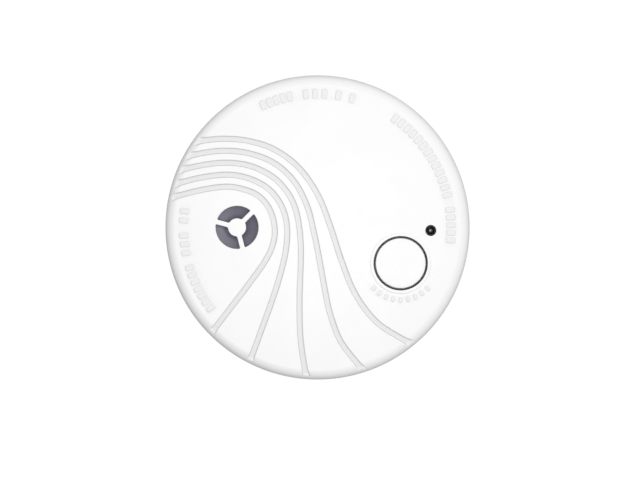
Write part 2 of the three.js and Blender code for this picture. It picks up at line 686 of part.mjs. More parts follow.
const head = body("head_body", [
  ["front_cover", frontCover(), F.whiteShell],
  ["rear_housing", rearHousing(), F.whiteShell],
  ["inlet_grille", inletGrille(), F.whiteShell],
  ["circuit_board", circuitBoard(), F.greenBoard],
  ["microcontroller", microcontroller(), F.blackPlastic],
  ["capacitor", capacitor(), F.steel],
  ["horn_coil", hornCoil(), F.copper],
  ["chamber_base", chamberBase(), F.blackPlastic],
  ["chamber_cap", chamberCap(), F.blackPlastic],
  ["insect_gauze", insectGauze(), F.gauze],
  ["ir_emitter", opticalPart(EMITTER_ANGLE), F.clear],
  ["photodiode", opticalPart(DETECTOR_ANGLE), F.blackPlastic],
  ["sounder_horn", sounderHorn(), F.hornGrey],
  ["piezo_plate", piezoPlate(), F.brass],
  ["piezo_ceramic", piezoCeramic(), F.ceramic],
  ...CONTACTS.map((contact, i) => [`sounder_contact_${i + 1}`, sounderContact(contact), F.steel]),
  ["led_sleeve", ledSleeve(), F.blackPlastic],
  ["light_guide", lightGuide(), F.clear],
  ["status_led", statusLed(), F.clear],
  ["button_ring", buttonRing(), F.blackPlastic],
  ["button_retainer", buttonRetainer(), F.whiteBase],
  ["button_spring", buttonSpring(), F.steel],
  ["tact_switch", tactSwitch(), F.blackPlastic],
  ["battery", battery(), F.batteryWrap],
  ["battery_cradle", batteryCradle(), F.blackPlastic],
  ["battery_tab_positive", batteryTab(1), F.steel],
  ["battery_tab_negative", batteryTab(-1), F.steel],
  ["base_switch", baseSwitch(), F.blackPlastic],
  ...CASE_SCREWS.map((at, i) => [`case_screw_${i + 1}`, caseScrew(at), F.steel]),
  ...BOARD_SCREWS.map((at, i) => [`board_screw_${i + 1}`, boardScrew(at), F.steel]),
  ["rating_label", ratingLabel(), F.label],
]);

const button = body("button_body", [
  ["test_button", testButton(), F.whiteShell],
  ["tact_switch_plunger", tactSwitchPlunger(), F.blackPlastic],
]);

const pin = body("pin_body", [["base_switch_pin", baseSwitchPin(), F.whiteBase]]);

const smokeAlarm = new THREE.Group();
smokeAlarm.add(base, head, button, pin);

export default smokeAlarm;
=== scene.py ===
"""The looks of the smoke alarm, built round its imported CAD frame.

The alarm lies on its ceiling face with +Z towards the room. Shapes are worked out in millimetres, in the
frame's own axes, and become metres when a mesh is made. Places come from the frame's nodes.
"""

import json
import math

import bmesh
import bpy
import numpy as np
from mathutils import Matrix, Vector
from mathutils.geometry import delaunay_2d_cdt


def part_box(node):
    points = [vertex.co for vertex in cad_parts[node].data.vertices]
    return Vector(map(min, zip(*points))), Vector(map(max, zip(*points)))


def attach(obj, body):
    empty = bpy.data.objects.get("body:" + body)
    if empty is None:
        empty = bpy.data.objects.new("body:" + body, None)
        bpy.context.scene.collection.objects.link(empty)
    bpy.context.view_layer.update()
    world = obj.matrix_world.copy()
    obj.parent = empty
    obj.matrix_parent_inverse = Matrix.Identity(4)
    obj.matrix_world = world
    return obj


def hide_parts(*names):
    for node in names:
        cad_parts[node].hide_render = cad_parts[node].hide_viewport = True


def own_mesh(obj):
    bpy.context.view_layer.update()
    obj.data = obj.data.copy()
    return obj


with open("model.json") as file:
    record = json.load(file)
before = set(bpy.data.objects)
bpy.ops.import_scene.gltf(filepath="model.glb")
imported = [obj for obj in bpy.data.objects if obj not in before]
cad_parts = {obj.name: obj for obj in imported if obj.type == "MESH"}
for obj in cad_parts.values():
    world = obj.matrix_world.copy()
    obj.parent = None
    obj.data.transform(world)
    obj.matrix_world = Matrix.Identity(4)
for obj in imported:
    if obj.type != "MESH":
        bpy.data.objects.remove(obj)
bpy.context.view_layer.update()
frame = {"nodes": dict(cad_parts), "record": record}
MM = 0.001


def middle(node):
    """The middle of a CAD node's box, in mm."""
    low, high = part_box(node)
    return (low + high) / 2 / MM


def low_mm(node):
    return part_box(node)[0] / MM


def high_mm(node):
    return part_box(node)[1] / MM


def round_box(node):
    """A round upright node's middle in plan, radius, bottom and top, in mm."""
    low, high = low_mm(node), high_mm(node)
    return middle(node).xy, (high.x - low.x) / 2, low.z, high.z


# ---- Driving dimensions, in mm ----

COVER_RADIUS = high_mm("front_cover").x
COVER_BOTTOM = 23.0
FACE_TOP = 38.0
DOME_RISE = 1.8
RIM_ROUND = 4.0
CREASE_RADIUS = COVER_RADIUS - RIM_ROUND
WALL = 2.0
SIDE_DRAFT = 0.4

GROOVE_HALF = 0.95
GROOVE_FLARE = 0.5
GROOVE_DEPTH = 0.7
GROOVE_WALL = 0.27
# How much darker the plastic is painted, as painted shade in the recess, from the face, over a groove's side,
# to its floor; the same amount also makes it a little rougher.
GROOVE_SHADES = [(0.0, 0.0), (0.3, 0.29), (0.7, 0.29), (1.0, 0.125)]

SOUNDER = middle("piezo_plate").xy
SOUNDER_RADIUS = 7.9
SOUNDER_HUB = 3.3
SPOKE_HALF = 0.85
FIRST_SPOKE = 45

BUTTON = middle("button_retainer").xy
BUTTON_RADIUS = 9.15
BUTTON_HOLE = 9.95
COLLAR_RADIUS = 11.1
COLLAR_HEIGHT = 0.35

LED = middle("light_guide").xy
LED_HOLE = 2.0

EDGE_ROUND = 0.22

# Centrelines of the five grooves, as the CAD source has them.
GROOVE_LINES = [
    [(-49, 30.2), (-42, 31.8), (-34, 32.5), (-25, 31.6), (-16, 28.6), (-7.2, 22.2), (0, 12.1), (4.8, 0),
     (8.7, -12), (13.6, -24), (21, -34.1), (29.5, -40), (39, -44.8)],
    [(-52.5, 24.7), (-43, 27.1), (-34, 28.1), (-25, 27.1), (-16, 23.6), (-8.7, 17), (-3.9, 8), (-1.3, -2),
     (0.7, -12), (2.9, -24), (4.7, -32), (8.6, -42), (15.6, -51), (19.2, -55)],
    [(-54.5, 19.8), (-44, 22.5), (-34, 23.7), (-25, 22.6), (-17, 18.9), (-11.9, 14), (-8.5, 8), (-6.7, 0),
     (-6.1, -10), (-6.6, -26), (-6.3, -40), (-4.8, -51), (-3.2, -58)],
    [(-56, 14.5), (-45, 17.8), (-34, 19.3), (-26, 18.2), (-19, 14.9), (-14.4, 10), (-11.8, 4), (-11.1, -3),
     (-12.3, -12), (-15.7, -24), (-20, -36), (-24.4, -48), (-27.4, -56)],
    [(-57, 9.9), (-45, 13.2), (-34, 14.9), (-27, 13.9), (-21.6, 11.5), (-17.6, 6.7), (-15.7, 0), (-16.3, -6),
     (-19, -12), (-24.6, -20), (-33.8, -32), (-41.5, -42)],
]  # fmt: skip

# Rows of small plain raised pads, where such alarms carry moulded notices: centre of the row's circle, its
# radius, pad length and width, first and last angle in degrees, and how many pads.
PAD_HEIGHT = 0.25
PAD_EDGE = 0.16
# A pad's top is a slightly darker tone; round its sides the plastic carries painted shade.
PAD_TOP_SHADE = 0.05
PAD_SIDE_SHADE = 0.12
PAD_ROWS = [
    ((0, 0), 49, 3.4, 2.0, 75, 81, 2),
    ((0, 0), 49, 3.4, 2.0, 87, 95, 3),
    ((0, 0), 49, 3.4, 2.0, 102, 114, 5),
    ((0, 0), 49, 3.4, 2.0, -5.5, 7.5, 5),
    ((0, 0), 49, 3.4, 2.0, 14, 54.5, 13),
    ((0, 0), 49, 3.4, 2.0, 173, 177, 2),
    ((0, 0), 49, 3.4, 2.0, 183.5, 191, 3),
    ((0, 0), 49, 3.4, 2.0, 197.5, 217, 7),
    (tuple(BUTTON), 13.4, 2.0, 1.2, -137, -43, 9),
]


# ---- Plan curves ----


def on_circle(centre, radius, angles):
    """Points on a circle at angles in degrees."""
    turn = np.radians(angles)
    return np.column_stack([centre[0] + radius * np.cos(turn), centre[1] + radius * np.sin(turn)])


def circle(centre, radius, count):
    return on_circle(centre, radius, np.arange(count) * 360 / count)


def from_spot(points, spot):
    """Each point's distance from a spot in plan."""
    return np.hypot(*(points - spot).T)


def round_corners(half_x, half_y, radius):
    """Four quarter circles round the corners of a rectangle about the origin, anticlockwise."""
    quarters = []
    for quarter, (sx, sy) in enumerate([(1, 1), (-1, 1), (-1, -1), (1, -1)]):
        turn = 90 * quarter + np.array([0, 30, 60, 90])
        quarters.append(on_circle((sx * half_x, sy * half_y), radius, turn))
    return np.vstack(quarters)


def grid(reach, step, radius):
    """Points of a square grid that lie less than a radius from the middle."""
    span = np.arange(-reach, reach + 0.1, step)
    points = np.array([(x, y) for x in span for y in span])
    return points[np.hypot(*points.T) < radius]


def spline(knots):
    """A Catmull-Rom curve through the knots, with the same rule as three.js uses."""
    steps = 16
    knots = np.array(knots, float)
    padded = np.vstack([knots[:1], knots, knots[-1:]])
    curve = []
    for before, start, end, after in zip(padded, padded[1:], padded[2:], padded[3:]):
        leave, arrive = (end - before) / 2, (after - start) / 2
        for t in np.arange(steps) / steps:
            cubic = (2 * start - 2 * end + leave + arrive) * t**3
            square = (3 * end - 3 * start - 2 * leave - arrive) * t**2
            curve.append(cubic + square + leave * t + start)
    return np.array(curve + [knots[-1]])


def evenly(curve, step):
    """The same curve with its points a step apart."""
    lengths = np.concatenate([[0], np.cumsum(np.hypot(*np.diff(curve, axis=0).T))])
    stations = np.linspace(0, lengths[-1], int(lengths[-1] / step) + 1)
    return np.column_stack([np.interp(stations, lengths, curve[:, axis]) for axis in (0, 1)])


def distance_to(points, line):
    """Distance from each point to a line of many points."""
    best = np.full(len(points), 1e9)
    for start, end in zip(line, line[1:]):
        along = end - start
        t = np.clip((points - start) @ along / (along @ along), 0, 1)
        best = np.minimum(best, np.hypot(*(points - start - t[:, None] * along).T))
    return best


def within(points, outline):
    """Which points lie inside a closed outline."""
    x, y = points.T
    inside = np.zeros(len(points), bool)
    for (x0, y0), (x1, y1) in zip(outline, np.roll(outline, -1, axis=0)):
        if y0 == y1:
            continue
        crosses = (y0 > y) != (y1 > y)
        inside ^= crosses & (x < (x1 - x0) * (y - y0) / (y1 - y0) + x0)
    return inside


GROOVES = [evenly(spline(knots), 1.0) for knots in GROOVE_LINES]


def sounder_outline(index, grow=0.0):
    """One opening of the sounder outlet, grown outwards by some amount, anticlockwise."""
    outer, inner, side = SOUNDER_RADIUS + grow, SOUNDER_HUB - grow, SPOKE_HALF - grow
    ease = 0.5 + grow
    first, last = FIRST_SPOKE + 120 * index, FIRST_SPOKE + 120 * (index + 1)
    arcs, ends = [], []
    for radius, start, end, count in ((outer, first, last, 24), (inner, last, first, 10)):
        lean, step = math.degrees(math.asin(side / radius)), math.degrees(ease / radius)
        inward = 1 if end > start else -1
        arcs.append(on_circle(
            SOUNDER, radius, np.linspace(start + inward * (lean + step), end - inward * (lean + step), count)
        ))
        ends.append(on_circle(SOUNDER, radius, [start + inward * lean, end - inward * lean]))
    (far, near), ((far_start, far_end), (near_start, near_end)) = arcs, ends

    def along(start, end):
        return start + (end - start) / np.linalg.norm(end - start) * ease

    outline = np.vstack([
        far,
        bend(far[-1], far_end, along(far_end, near_start)),
        bend(along(near_start, far_end), near_start, near[0]),
        near[1:-1],
        bend(near[-1], near_end, along(near_end, far_start)),
        bend(along(far_start, near_end), far_start, far[0]),
    ])
    apart = np.hypot(*(outline - np.roll(outline, 1, axis=0)).T) > 1e-6
    return outline[apart]


def bend(start, corner, end, steps=4):
    """A soft corner from start to end."""
    t = np.linspace(0, 1, steps + 1)[:, None]
    return (1 - t) ** 2 * np.array(start) + 2 * t * (1 - t) * np.array(corner) + t**2 * np.array(end)


SOUNDER_OUTLINES = [sounder_outline(index) for index in range(3)]


def pads():
    """Middle, direction and half sizes of every raised pad."""
    for centre, radius, length, width, first, last, count in PAD_ROWS:
        for angle in np.linspace(first, last, count):
            out = on_circle((0, 0), 1, [angle])[0]
            yield np.array(centre) + radius * out, out, length / 2, width / 2


PADS = list(pads())
PAD_CORNER = 0.5


def pad_outline(pad, grow):
    """A pad's rounded outline, grown by some amount."""
    spot, out, half_length, half_width = pad
    side = np.array([-out[1], out[0]])
    local = round_corners(half_length - PAD_CORNER, half_width - PAD_CORNER, PAD_CORNER + grow)
    return spot + local[:, :1] * out + local[:, 1:] * side


# ---- The cover's outer surface as a height over the plan ----


def dome(r):
    return FACE_TOP - DOME_RISE * (r / CREASE_RADIUS) ** 2


RIM_CENTRE = dome(CREASE_RADIUS) - RIM_ROUND


def smooth(t):
    t = np.clip(t, 0, 1)
    return t * t * t * (t * (6 * t - 15) + 10)


def edge_drop(distance):
    """How far a rounded edge has dropped at some distance from it."""
    near = np.clip(1 - distance / EDGE_ROUND, 0, 1)
    return EDGE_ROUND * (1 - np.sqrt(1 - near**2))


def groove_half(r):
    return GROOVE_HALF + GROOVE_FLARE * smooth((r - CREASE_RADIUS + 0.5) / (RIM_ROUND + 0.5))


def face_or_rim(r):
    over_rim = np.clip(r - CREASE_RADIUS, 0, RIM_ROUND)
    return np.where(r > CREASE_RADIUS, RIM_CENTRE + np.sqrt(RIM_ROUND**2 - over_rim**2), dome(r))


def floor_depth(r):
    """How far a groove's floor lies under the face. It runs out where the rim falls below it."""
    above_floor = face_or_rim(r) - dome(r) + GROOVE_DEPTH
    return (above_floor + np.sqrt(above_floor**2 + 0.05**2)) / 2


def pad_distances(points):
    """For each pad, which points are near it and how far outside its edge they lie."""
    for spot, out, half_length, half_width in PADS:
        near = from_spot(points, spot) < half_length + 1
        along = np.abs((points[near] - spot) @ out) - half_length + PAD_CORNER
        across = np.abs((points[near] - spot) @ np.array([-out[1], out[0]])) - half_width + PAD_CORNER
        beyond = np.hypot(np.maximum(along, 0), np.maximum(across, 0))
        yield near, beyond + np.minimum(np.maximum(along, across), 0) - PAD_CORNER


def cover_height(points):
    r = np.hypot(*points.T)
    height = face_or_rim(r) - groove_share(points) * floor_depth(r)

    from_button = from_spot(points, BUTTON)
    height += COLLAR_HEIGHT * (1 - smooth((from_button - COLLAR_RADIUS + 0.2) / 0.4))
    height -= edge_drop(from_button - BUTTON_HOLE)
    height -= edge_drop(from_spot(points, LED) - LED_HOLE)
    near_sounder = from_spot(points, SOUNDER) < SOUNDER_RADIUS + 1
    for outline in SOUNDER_OUTLINES:
        closed = np.vstack([outline, outline[:1]])
        height[near_sounder] -= edge_drop(distance_to(points[near_sounder], closed))

    for near, outside in pad_distances(points):
        height[near] += PAD_HEIGHT * (1 - smooth((outside + PAD_EDGE) / (2 * PAD_EDGE)))
    return height


def groove_share(points):
    """1 on the floor of a groove and 0 on the face."""
    r = np.hypot(*points.T)
    share = np.zeros(len(points))
    for line in GROOVES:
        reach = (groove_half(r) + GROOVE_WALL - distance_to(points, line)) / (2 * GROOVE_WALL)
        share = np.maximum(share, smooth(reach))
    return share


def moulding_shade(points):
    """How much darker than the face the plastic is painted: painted shade in the grooves and round the pads'
    sides, and a darker tone on the pad tops. 0 is the plain face.
    """
    fade = smooth(floor_depth(np.hypot(*points.T)) / (0.8 * GROOVE_DEPTH))
    shade = fade * np.interp(groove_share(points), *zip(*GROOVE_SHADES))
    for near, outside in pad_distances(points):
        side = np.clip(1 - np.abs(outside) / (1.5 * PAD_EDGE), 0, 1)
        shade[near] = np.maximum(shade[near], np.where(outside < 0, PAD_TOP_SHADE, 0) + PAD_SIDE_SHADE * side)
    return shade


def cover_normals(points):
    """Normals of the outer surface, from its slope, and round the rim from the rim's own arc."""
    step = 0.01
    slopes = []
    for axis in (0, 1):
        shift = np.zeros(2)
        shift[axis] = step
        slopes.append((cover_height(points + shift) - cover_height(points - shift)) / (2 * step))
    normals = np.column_stack([-slopes[0], -slopes[1], np.ones(len(points))])
    r = np.hypot(*points.T)
    rim = r > CREASE_RADIUS + 2.6
    sine = np.clip((r[rim] - CREASE_RADIUS) / RIM_ROUND, 0, 1)
    normals[rim] = np.column_stack([points[rim] / r[rim, None] * sine[:, None], np.sqrt(1 - sine**2)])
    return normals / np.linalg.norm(normals, axis=1)[:, None]


# ---- Meshes ----


SHARP_ANGLE = 32


def new_object(name, points, faces, normals=None, sharp=SHARP_ANGLE):
    """A mesh object from points in mm. Corners without a normal of their own are smoothed up to an angle."""
    mesh = bpy.data.meshes.new(name)
    mesh.from_pydata([tuple(p) for p in np.asarray(points, float) * MM], [], faces)
    mesh.validate()
    mesh.update()
    mesh.shade_smooth()
    mesh.set_sharp_from_angle(angle=math.radians(sharp))
    if normals is not None:
        mesh.normals_split_custom_set(normals(mesh))
    piece = bpy.data.objects.new(name, mesh)
    bpy.context.scene.collection.objects.link(piece)
    return piece


def closed_object(name, points, faces, sharp=SHARP_ANGLE):
    """A mesh object of a closed shape, its faces turned outwards."""
    piece = new_object(name, points, faces, sharp=sharp)
    shape = bmesh.new()
    shape.from_mesh(piece.data)
    bmesh.ops.recalc_face_normals(shape, faces=shape.faces)
    shape.to_mesh(piece.data)
    shape.free()
    return piece


def numbered(count, rings, start=0):
    """Point numbers of several rings of count points each, numbered on from start."""
    return [list(range(first, first + count)) for first in range(start, start + rings * count, count)]


def bar_faces(count, start=0):
    """Faces of a closed bar whose two ends are rings of count points, numbered on from start."""
    near, far = numbered(count, 2, start)
    return [near[::-1], far, *wall(far, near)]


def soft_profile(corners):
    """Points of an outline whose corners are (x, y, radius)."""
    points = []
    count = len(corners)
    for index, (x, y, radius) in enumerate(corners):
        corner = Vector((x, y))
        if radius == 0:
            points.append(corner)
            continue
        back = Vector(corners[index - 1][:2]) - corner
        on = Vector(corners[(index + 1) % count][:2]) - corner
        half = back.angle(on) / 2
        reach = min(radius / math.tan(half), 0.49 * back.length, 0.49 * on.length)
        soft = bend(corner + back.normalized() * reach, corner, corner + on.normalized() * reach, 5)
        points.extend(Vector(p) for p in soft)
    return points


def turned(name, corners, segments, centre=(0, 0)):
    """A solid of revolution from (radius, height, rounding) corners. One with no bore starts on its axis."""
    profile = soft_profile(corners)
    points, faces, rings = [], [], []
    for radius, height in profile:
        if radius < 1e-6:
            rings.append([len(points)] * segments)
            points.append((*centre, height))
            continue
        rings.append(list(range(len(points), len(points) + segments)))
        for x, y in circle(centre, radius, segments):
            points.append((x, y, height))
    pairs = list(zip(rings, rings[1:]))
    if corners[0][0] > 0:
        pairs.append((rings[-1], rings[0]))
    for a, b in pairs:
        for i in range(segments):
            j = (i + 1) % segments
            quad = list(dict.fromkeys((a[i], a[j], b[j], b[i])))
            if len(quad) > 2:
                faces.append(quad)
    return closed_object(name, points, faces)


class Plan:
    """Points and lines in plan, collected before they are triangulated."""

    def __init__(self):
        self.points = np.zeros((0, 2))
        self.lines = []

    def add(self, points, closed=True, line=True):
        first = len(self.points)
        numbers = list(range(first, first + len(points)))
        self.points = np.vstack([self.points, points])
        if line:
            self.lines.append(numbers + numbers[:1] if closed else numbers)
        return numbers

    def fill(self, spots, clear_of):
        """Adds the spots that lie farther than a reach from each (centre, reach), without a line."""
        for centre, reach in clear_of:
            spots = spots[from_spot(spots, centre) > reach]
        self.add(spots, line=False)

    def triangles(self, keep):
        """Triangles over the points with every line kept, where keep says so of their middles."""
        edges = [(a, b) for line in self.lines for a, b in zip(line, line[1:])]
        result = delaunay_2d_cdt([Vector(p) for p in self.points], edges, [], 0, 1e-5, True)
        spots, triangles, origins = result[0], np.array(result[2]), result[3]
        spots = np.array([tuple(p) for p in spots])
        place = {old: new for new, olds in enumerate(origins) for old in olds}
        triangles = triangles[keep(spots[triangles].mean(axis=1))]
        return spots, triangles, place


ROUND_RIM = 360
ROUND_HOLE = 120
ROUND_LED = 48
CASE_SCREWS = [middle(f"case_screw_{i}").xy for i in (1, 2, 3)]


def cover_holes():
    return [circle(BUTTON, BUTTON_HOLE, ROUND_HOLE), circle(LED, LED_HOLE, ROUND_LED), *SOUNDER_OUTLINES]


def outside_holes(points):
    inside = np.zeros(len(points), bool)
    for hole in cover_holes():
        inside |= within(points, hole)
    return ~inside


def outer_plan():
    """The cover's outer surface in plan: rim, holes, grooves, collar and pads, and a grid between them."""
    plan = Plan()
    rim = plan.add(circle((0, 0), COVER_RADIUS, ROUND_RIM))
    holes = [plan.add(hole) for hole in cover_holes()]
    for angle in range(5, 90, 5):
        radius = CREASE_RADIUS + RIM_ROUND * math.cos(math.radians(angle))
        plan.add(circle((0, 0), radius, ROUND_RIM), line=False)
    plan.add(circle((0, 0), CREASE_RADIUS, ROUND_RIM), line=False)
    plan.add(circle((0, 0), CREASE_RADIUS - 0.3, ROUND_RIM), line=False)

    for line in GROOVES:
        along = np.gradient(line, axis=0)
        along /= np.hypot(*along.T)[:, None]
        across = np.column_stack([-along[:, 1], along[:, 0]])
        half = groove_half(np.hypot(*line.T))[:, None]
        inner = [half * 0, half * 0.5]
        wall = [half + GROOVE_WALL * share for share in (-1, -0.66, -0.33, 0, 0.33, 0.66, 1)]
        for side in (-1, 1):
            for reach in [*inner[side < 0 :], *wall, half + 0.65]:
                strip = line + side * across * reach
                strip = strip[np.hypot(*strip.T) < COVER_RADIUS - 0.8]
                plan.add(strip, closed=False)

    for reach in (0.07, 0.15, EDGE_ROUND):
        plan.add(circle(BUTTON, BUTTON_HOLE + reach, ROUND_HOLE))
        plan.add(circle(LED, LED_HOLE + reach, ROUND_LED))
        for index in range(3):
            plan.add(sounder_outline(index, reach))
    for radius in (10.4, 10.9, 10.97, 11.04, 11.1, 11.16, 11.23, 11.3, 11.7):
        plan.add(circle(BUTTON, radius, ROUND_HOLE))
    for pad in PADS:
        for grow in (-0.17, -0.08, 0, 0.08, 0.17):
            plan.add(pad_outline(pad, grow))

    between = grid(52, 2.0, CREASE_RADIUS - 1.2)
    for line in GROOVES:
        between = between[distance_to(between, line) > GROOVE_HALF + 1.3]
    clear_of = [(BUTTON, COLLAR_RADIUS + 1.2), (LED, LED_HOLE + 1), (SOUNDER, SOUNDER_RADIUS + 1)]
    clear_of += [(spot, half_length + 0.6) for spot, _, half_length, _ in PADS]
    plan.fill(between, clear_of)
    return plan, rim, holes


# Steep-sided features under the cover: (centre, [(radius, height)...]). None is the ceiling's own height.
BOSS_BOTTOM = low_mm("front_cover").z
INNER_FEATURES = [
    (BUTTON, [(10.95, None), (11.0, 27.4), (12.2, 27.4), (12.3, None)]),
    (SOUNDER, [(15.5, None), (15.6, 29), (16.8, 29), (16.9, None)]),
    *[(spot, [(1.4, 33), (1.45, BOSS_BOTTOM), (3.4, BOSS_BOTTOM), (3.6, None)]) for spot in CASE_SCREWS],
]


def ceiling_height(points):
    """Height of the cover's inner face, with what hangs from it."""
    r = np.hypot(*points.T)
    ceiling = dome(np.minimum(r, CREASE_RADIUS)) - WALL
    ceiling -= np.clip(r - CREASE_RADIUS, 0, None)
    height = ceiling.copy()
    for centre, profile in INNER_FEATURES:
        distance = from_spot(points, centre)
        levels = [ceiling if level is None else np.full(len(points), float(level)) for _, level in profile]
        for (near, _), (far, _), low, high in zip(profile, profile[1:], levels, levels[1:]):
            part = (distance >= near - 1e-6) & (distance <= far + 1e-6)
            share = np.clip((distance - near) / (far - near), 0, 1)
            height = np.where(part, low + (high - low) * share, height)
        if profile[0][1] is not None:
            height = np.where(distance < profile[0][0], levels[0], height)
    return height


def inner_plan():
    plan = Plan()
    rim = plan.add(circle((0, 0), COVER_RADIUS - WALL, ROUND_RIM))
    holes = [plan.add(hole) for hole in cover_holes()]
    plan.add(circle((0, 0), CREASE_RADIUS, ROUND_RIM))
    for centre, profile in INNER_FEATURES:
        for radius, _ in profile:
            plan.add(circle(centre, radius, 96 if radius > 5 else 32))
    clear_of = [(centre, profile[-1][0] + 1) for centre, profile in INNER_FEATURES]
    plan.fill(grid(48, 6.0, CREASE_RADIUS - 2), [*clear_of, (LED, LED_HOLE + 1)])
    return plan, rim, holes


def front_cover():
    """The whole cover as one closed mesh."""
    plan, rim, holes = outer_plan()
    outer, outer_faces, outer_place = plan.triangles(outside_holes)
    plan, inner_rim, inner_holes = inner_plan()
    inner, inner_faces, inner_place = plan.triangles(outside_holes)

    points = [np.column_stack([outer, cover_height(outer)]), np.column_stack([inner, ceiling_height(inner)])]
    shift = len(outer)
    faces = [list(f) for f in outer_faces] + [[shift + n for n in f[::-1]] for f in inner_faces]
    for loop, inner_loop in zip(holes, inner_holes):
        upper = [outer_place[n] for n in loop]
        lower = [shift + inner_place[n] for n in inner_loop]
        faces += wall(lower, upper)

    side = [
        (COVER_RADIUS - 0.02, RIM_CENTRE - 0.6),
        (COVER_RADIUS - 0.15, 29),
        (COVER_RADIUS - 0.28, 26),
        (COVER_RADIUS - SIDE_DRAFT + 0.02, COVER_BOTTOM + 0.4),
        (COVER_RADIUS - SIDE_DRAFT - 0.05, COVER_BOTTOM + 0.12),
        (COVER_RADIUS - SIDE_DRAFT - 0.25, COVER_BOTTOM),
        (COVER_RADIUS - WALL, COVER_BOTTOM),
        (COVER_RADIUS - WALL - 0.25, COVER_BOTTOM + 0.1),
        (COVER_RADIUS - WALL - 0.3, COVER_BOTTOM + 0.3),
        (COVER_RADIUS - WALL - 0.15, 28),
    ]
    start = shift + len(inner)
    ring = [outer_place[n] for n in rim]
    for radius, height in side:
        flat = circle((0, 0), radius, ROUND_RIM)
        points.append(np.column_stack([flat, np.full(ROUND_RIM, height)]))
        below = list(range(start, start + ROUND_RIM))
        start += ROUND_RIM
        faces += wall(ring, below)
        ring = below
    faces += wall(ring, [shift + inner_place[n] for n in inner_rim])

    outer_normals = cover_normals(outer)
    count = len(outer_faces)

    def normals(mesh):
        own = np.zeros((len(mesh.loops), 3))
        vertices = np.zeros(len(mesh.loops), int)
        mesh.loops.foreach_get("vertex_index", vertices)
        top = 3 * count
        own[:top] = outer_normals[vertices[:top]]
        return own

    piece = new_object("front_cover_shell", np.vstack(points), faces, normals=normals)
    # The mesh carries the painted shade of grooves and pads as its shade attribute.
    shade = piece.data.attributes.new("shade", "FLOAT", "POINT")
    shade.data.foreach_set("value", np.concatenate([moulding_shade(outer), np.zeros(start - len(outer))]))
    return piece


def wall(upper, lower):
    """Faces between two rings of points, facing away from their middle when upper lies above lower."""
    count = len(upper)
    return [[upper[i], lower[i], lower[(i + 1) % count], upper[(i + 1) % count]] for i in range(count)]


# ---- Materials ----


class Nodes:
    """A node tree, added to by the names of nodes and sockets."""

    def __init__(self, tree):
        self.tree = tree

    def add(self, kind, inputs=None, **settings):
        node = self.tree.nodes.new(kind)
        for key, value in settings.items():
            setattr(node, key, value)
        for key, value in (inputs or {}).items():
            self.feed(node.inputs[key], value)
        return node

    def feed(self, socket, value):
        if isinstance(value, bpy.types.NodeSocket):
            self.tree.links.new(value, socket)
        else:
            socket.default_value = value

    def calculate(self, operation, first, second):
        return self.add("ShaderNodeMath", {0: first, 1: second}, operation=operation).outputs[0]


class Shader(Nodes):
    """A material built on the Principled surface."""

    def __init__(self, name):
        self.material = bpy.data.materials.new(name)
        self.material.use_nodes = True
        super().__init__(self.material.node_tree)
        self.surface = self.tree.nodes["Principled BSDF"]
        self.place = self.add("ShaderNodeTexCoord").outputs["Object"]

    def noise(self, size_mm, detail=2.0, roughness=0.5):
        """Smooth noise whose features are about size_mm across, from 0 to 1."""
        settings = {"Vector": self.place, "Scale": 1 / (size_mm * MM)}
        settings |= {"Detail": detail, "Roughness": roughness}
        return self.add("ShaderNodeTexNoise", settings).outputs["Fac"]

    def between(self, factor, low, high, start=0.0, end=1.0):
        """A number that goes from low to high while factor goes from start to end."""
        settings = {"Value": factor, "From Min": start, "From Max": end, "To Min": low, "To Max": high}
        return self.add("ShaderNodeMapRange", settings).outputs["Result"]

    def mix(self, factor, first, second):
        node = self.add("ShaderNodeMix", data_type="RGBA")
        for index, value in ((0, factor), (6, first), (7, second)):
            if isinstance(value, tuple):
                value = (*value, 1.0)
            self.feed(node.inputs[index], value)
        return node.outputs[2]

    def bump(self, height, depth_mm, below=None):
        settings = {"Height": height, "Distance": depth_mm * MM, "Strength": 1.0}
        if below is not None:
            settings["Normal"] = below
        return self.add("ShaderNodeBump", settings).outputs["Normal"]

    def edges(self, start=0.5, end=0.6):
        """0 on flat ground and 1 on sharp outward edges."""
        pointiness = self.add("ShaderNodeNewGeometry").outputs["Pointiness"]
        return self.between(pointiness, 0.0, 1.0, start, end)

    def set(self, **sockets):
        for key, value in sockets.items():
            if isinstance(value, tuple):
                value = (*value, 1.0)
            self.feed(self.surface.inputs[key.replace("_", " ")], value)


def moulded(name, color, rough, grain, depth, clouding, takes_painted_shade=False):
    """Moulded plastic with a fine spark-eroded grain, faint clouding, and sharp outward edges painted
    slightly lighter as a highlight.

    One that takes painted shade also reads the mesh's own shade attribute, which darkens the colour as
    painted shade and makes it a little rougher; a mesh without it leaves it at 0.
    """
    look = Shader(name)
    cloud = look.noise(14, detail=3)
    darker = tuple(c * clouding for c in color)
    base = look.mix(look.between(cloud, 0, 1, 0.35, 0.65), color, darker)
    # Sharp outward edges are painted a little lighter: a painted highlight.
    edge = look.edges(0.52, 0.62)
    base = look.mix(look.between(edge, 0, 0.35), base, tuple(min(1, c * 1.04) for c in color))
    speck = look.noise(1.6, detail=4, roughness=0.6)
    polish = look.between(speck, rough - 0.04, rough + 0.05, 0.3, 0.7)
    fine = look.noise(grain, detail=3, roughness=0.65)
    coarse = look.noise(grain * 9, detail=1)
    normal = look.bump(coarse, depth * 1.2, look.bump(fine, depth))
    if takes_painted_shade:
        # The shade attribute darkens the colour: painted shade in the grooves and round the pads, a darker
        # tone on pad tops.
        painted_shade_and_tone = look.add("ShaderNodeAttribute", attribute_name="shade").outputs["Fac"]
        base = look.mix(painted_shade_and_tone, base, (0.0, 0.0, 0.0))
        polish = look.calculate("ADD", polish, look.between(painted_shade_and_tone, 0.0, 0.2, 0.0, 0.26))
    look.set(Base_Color=base, Roughness=polish, Normal=normal, IOR=1.53)
    return look.material


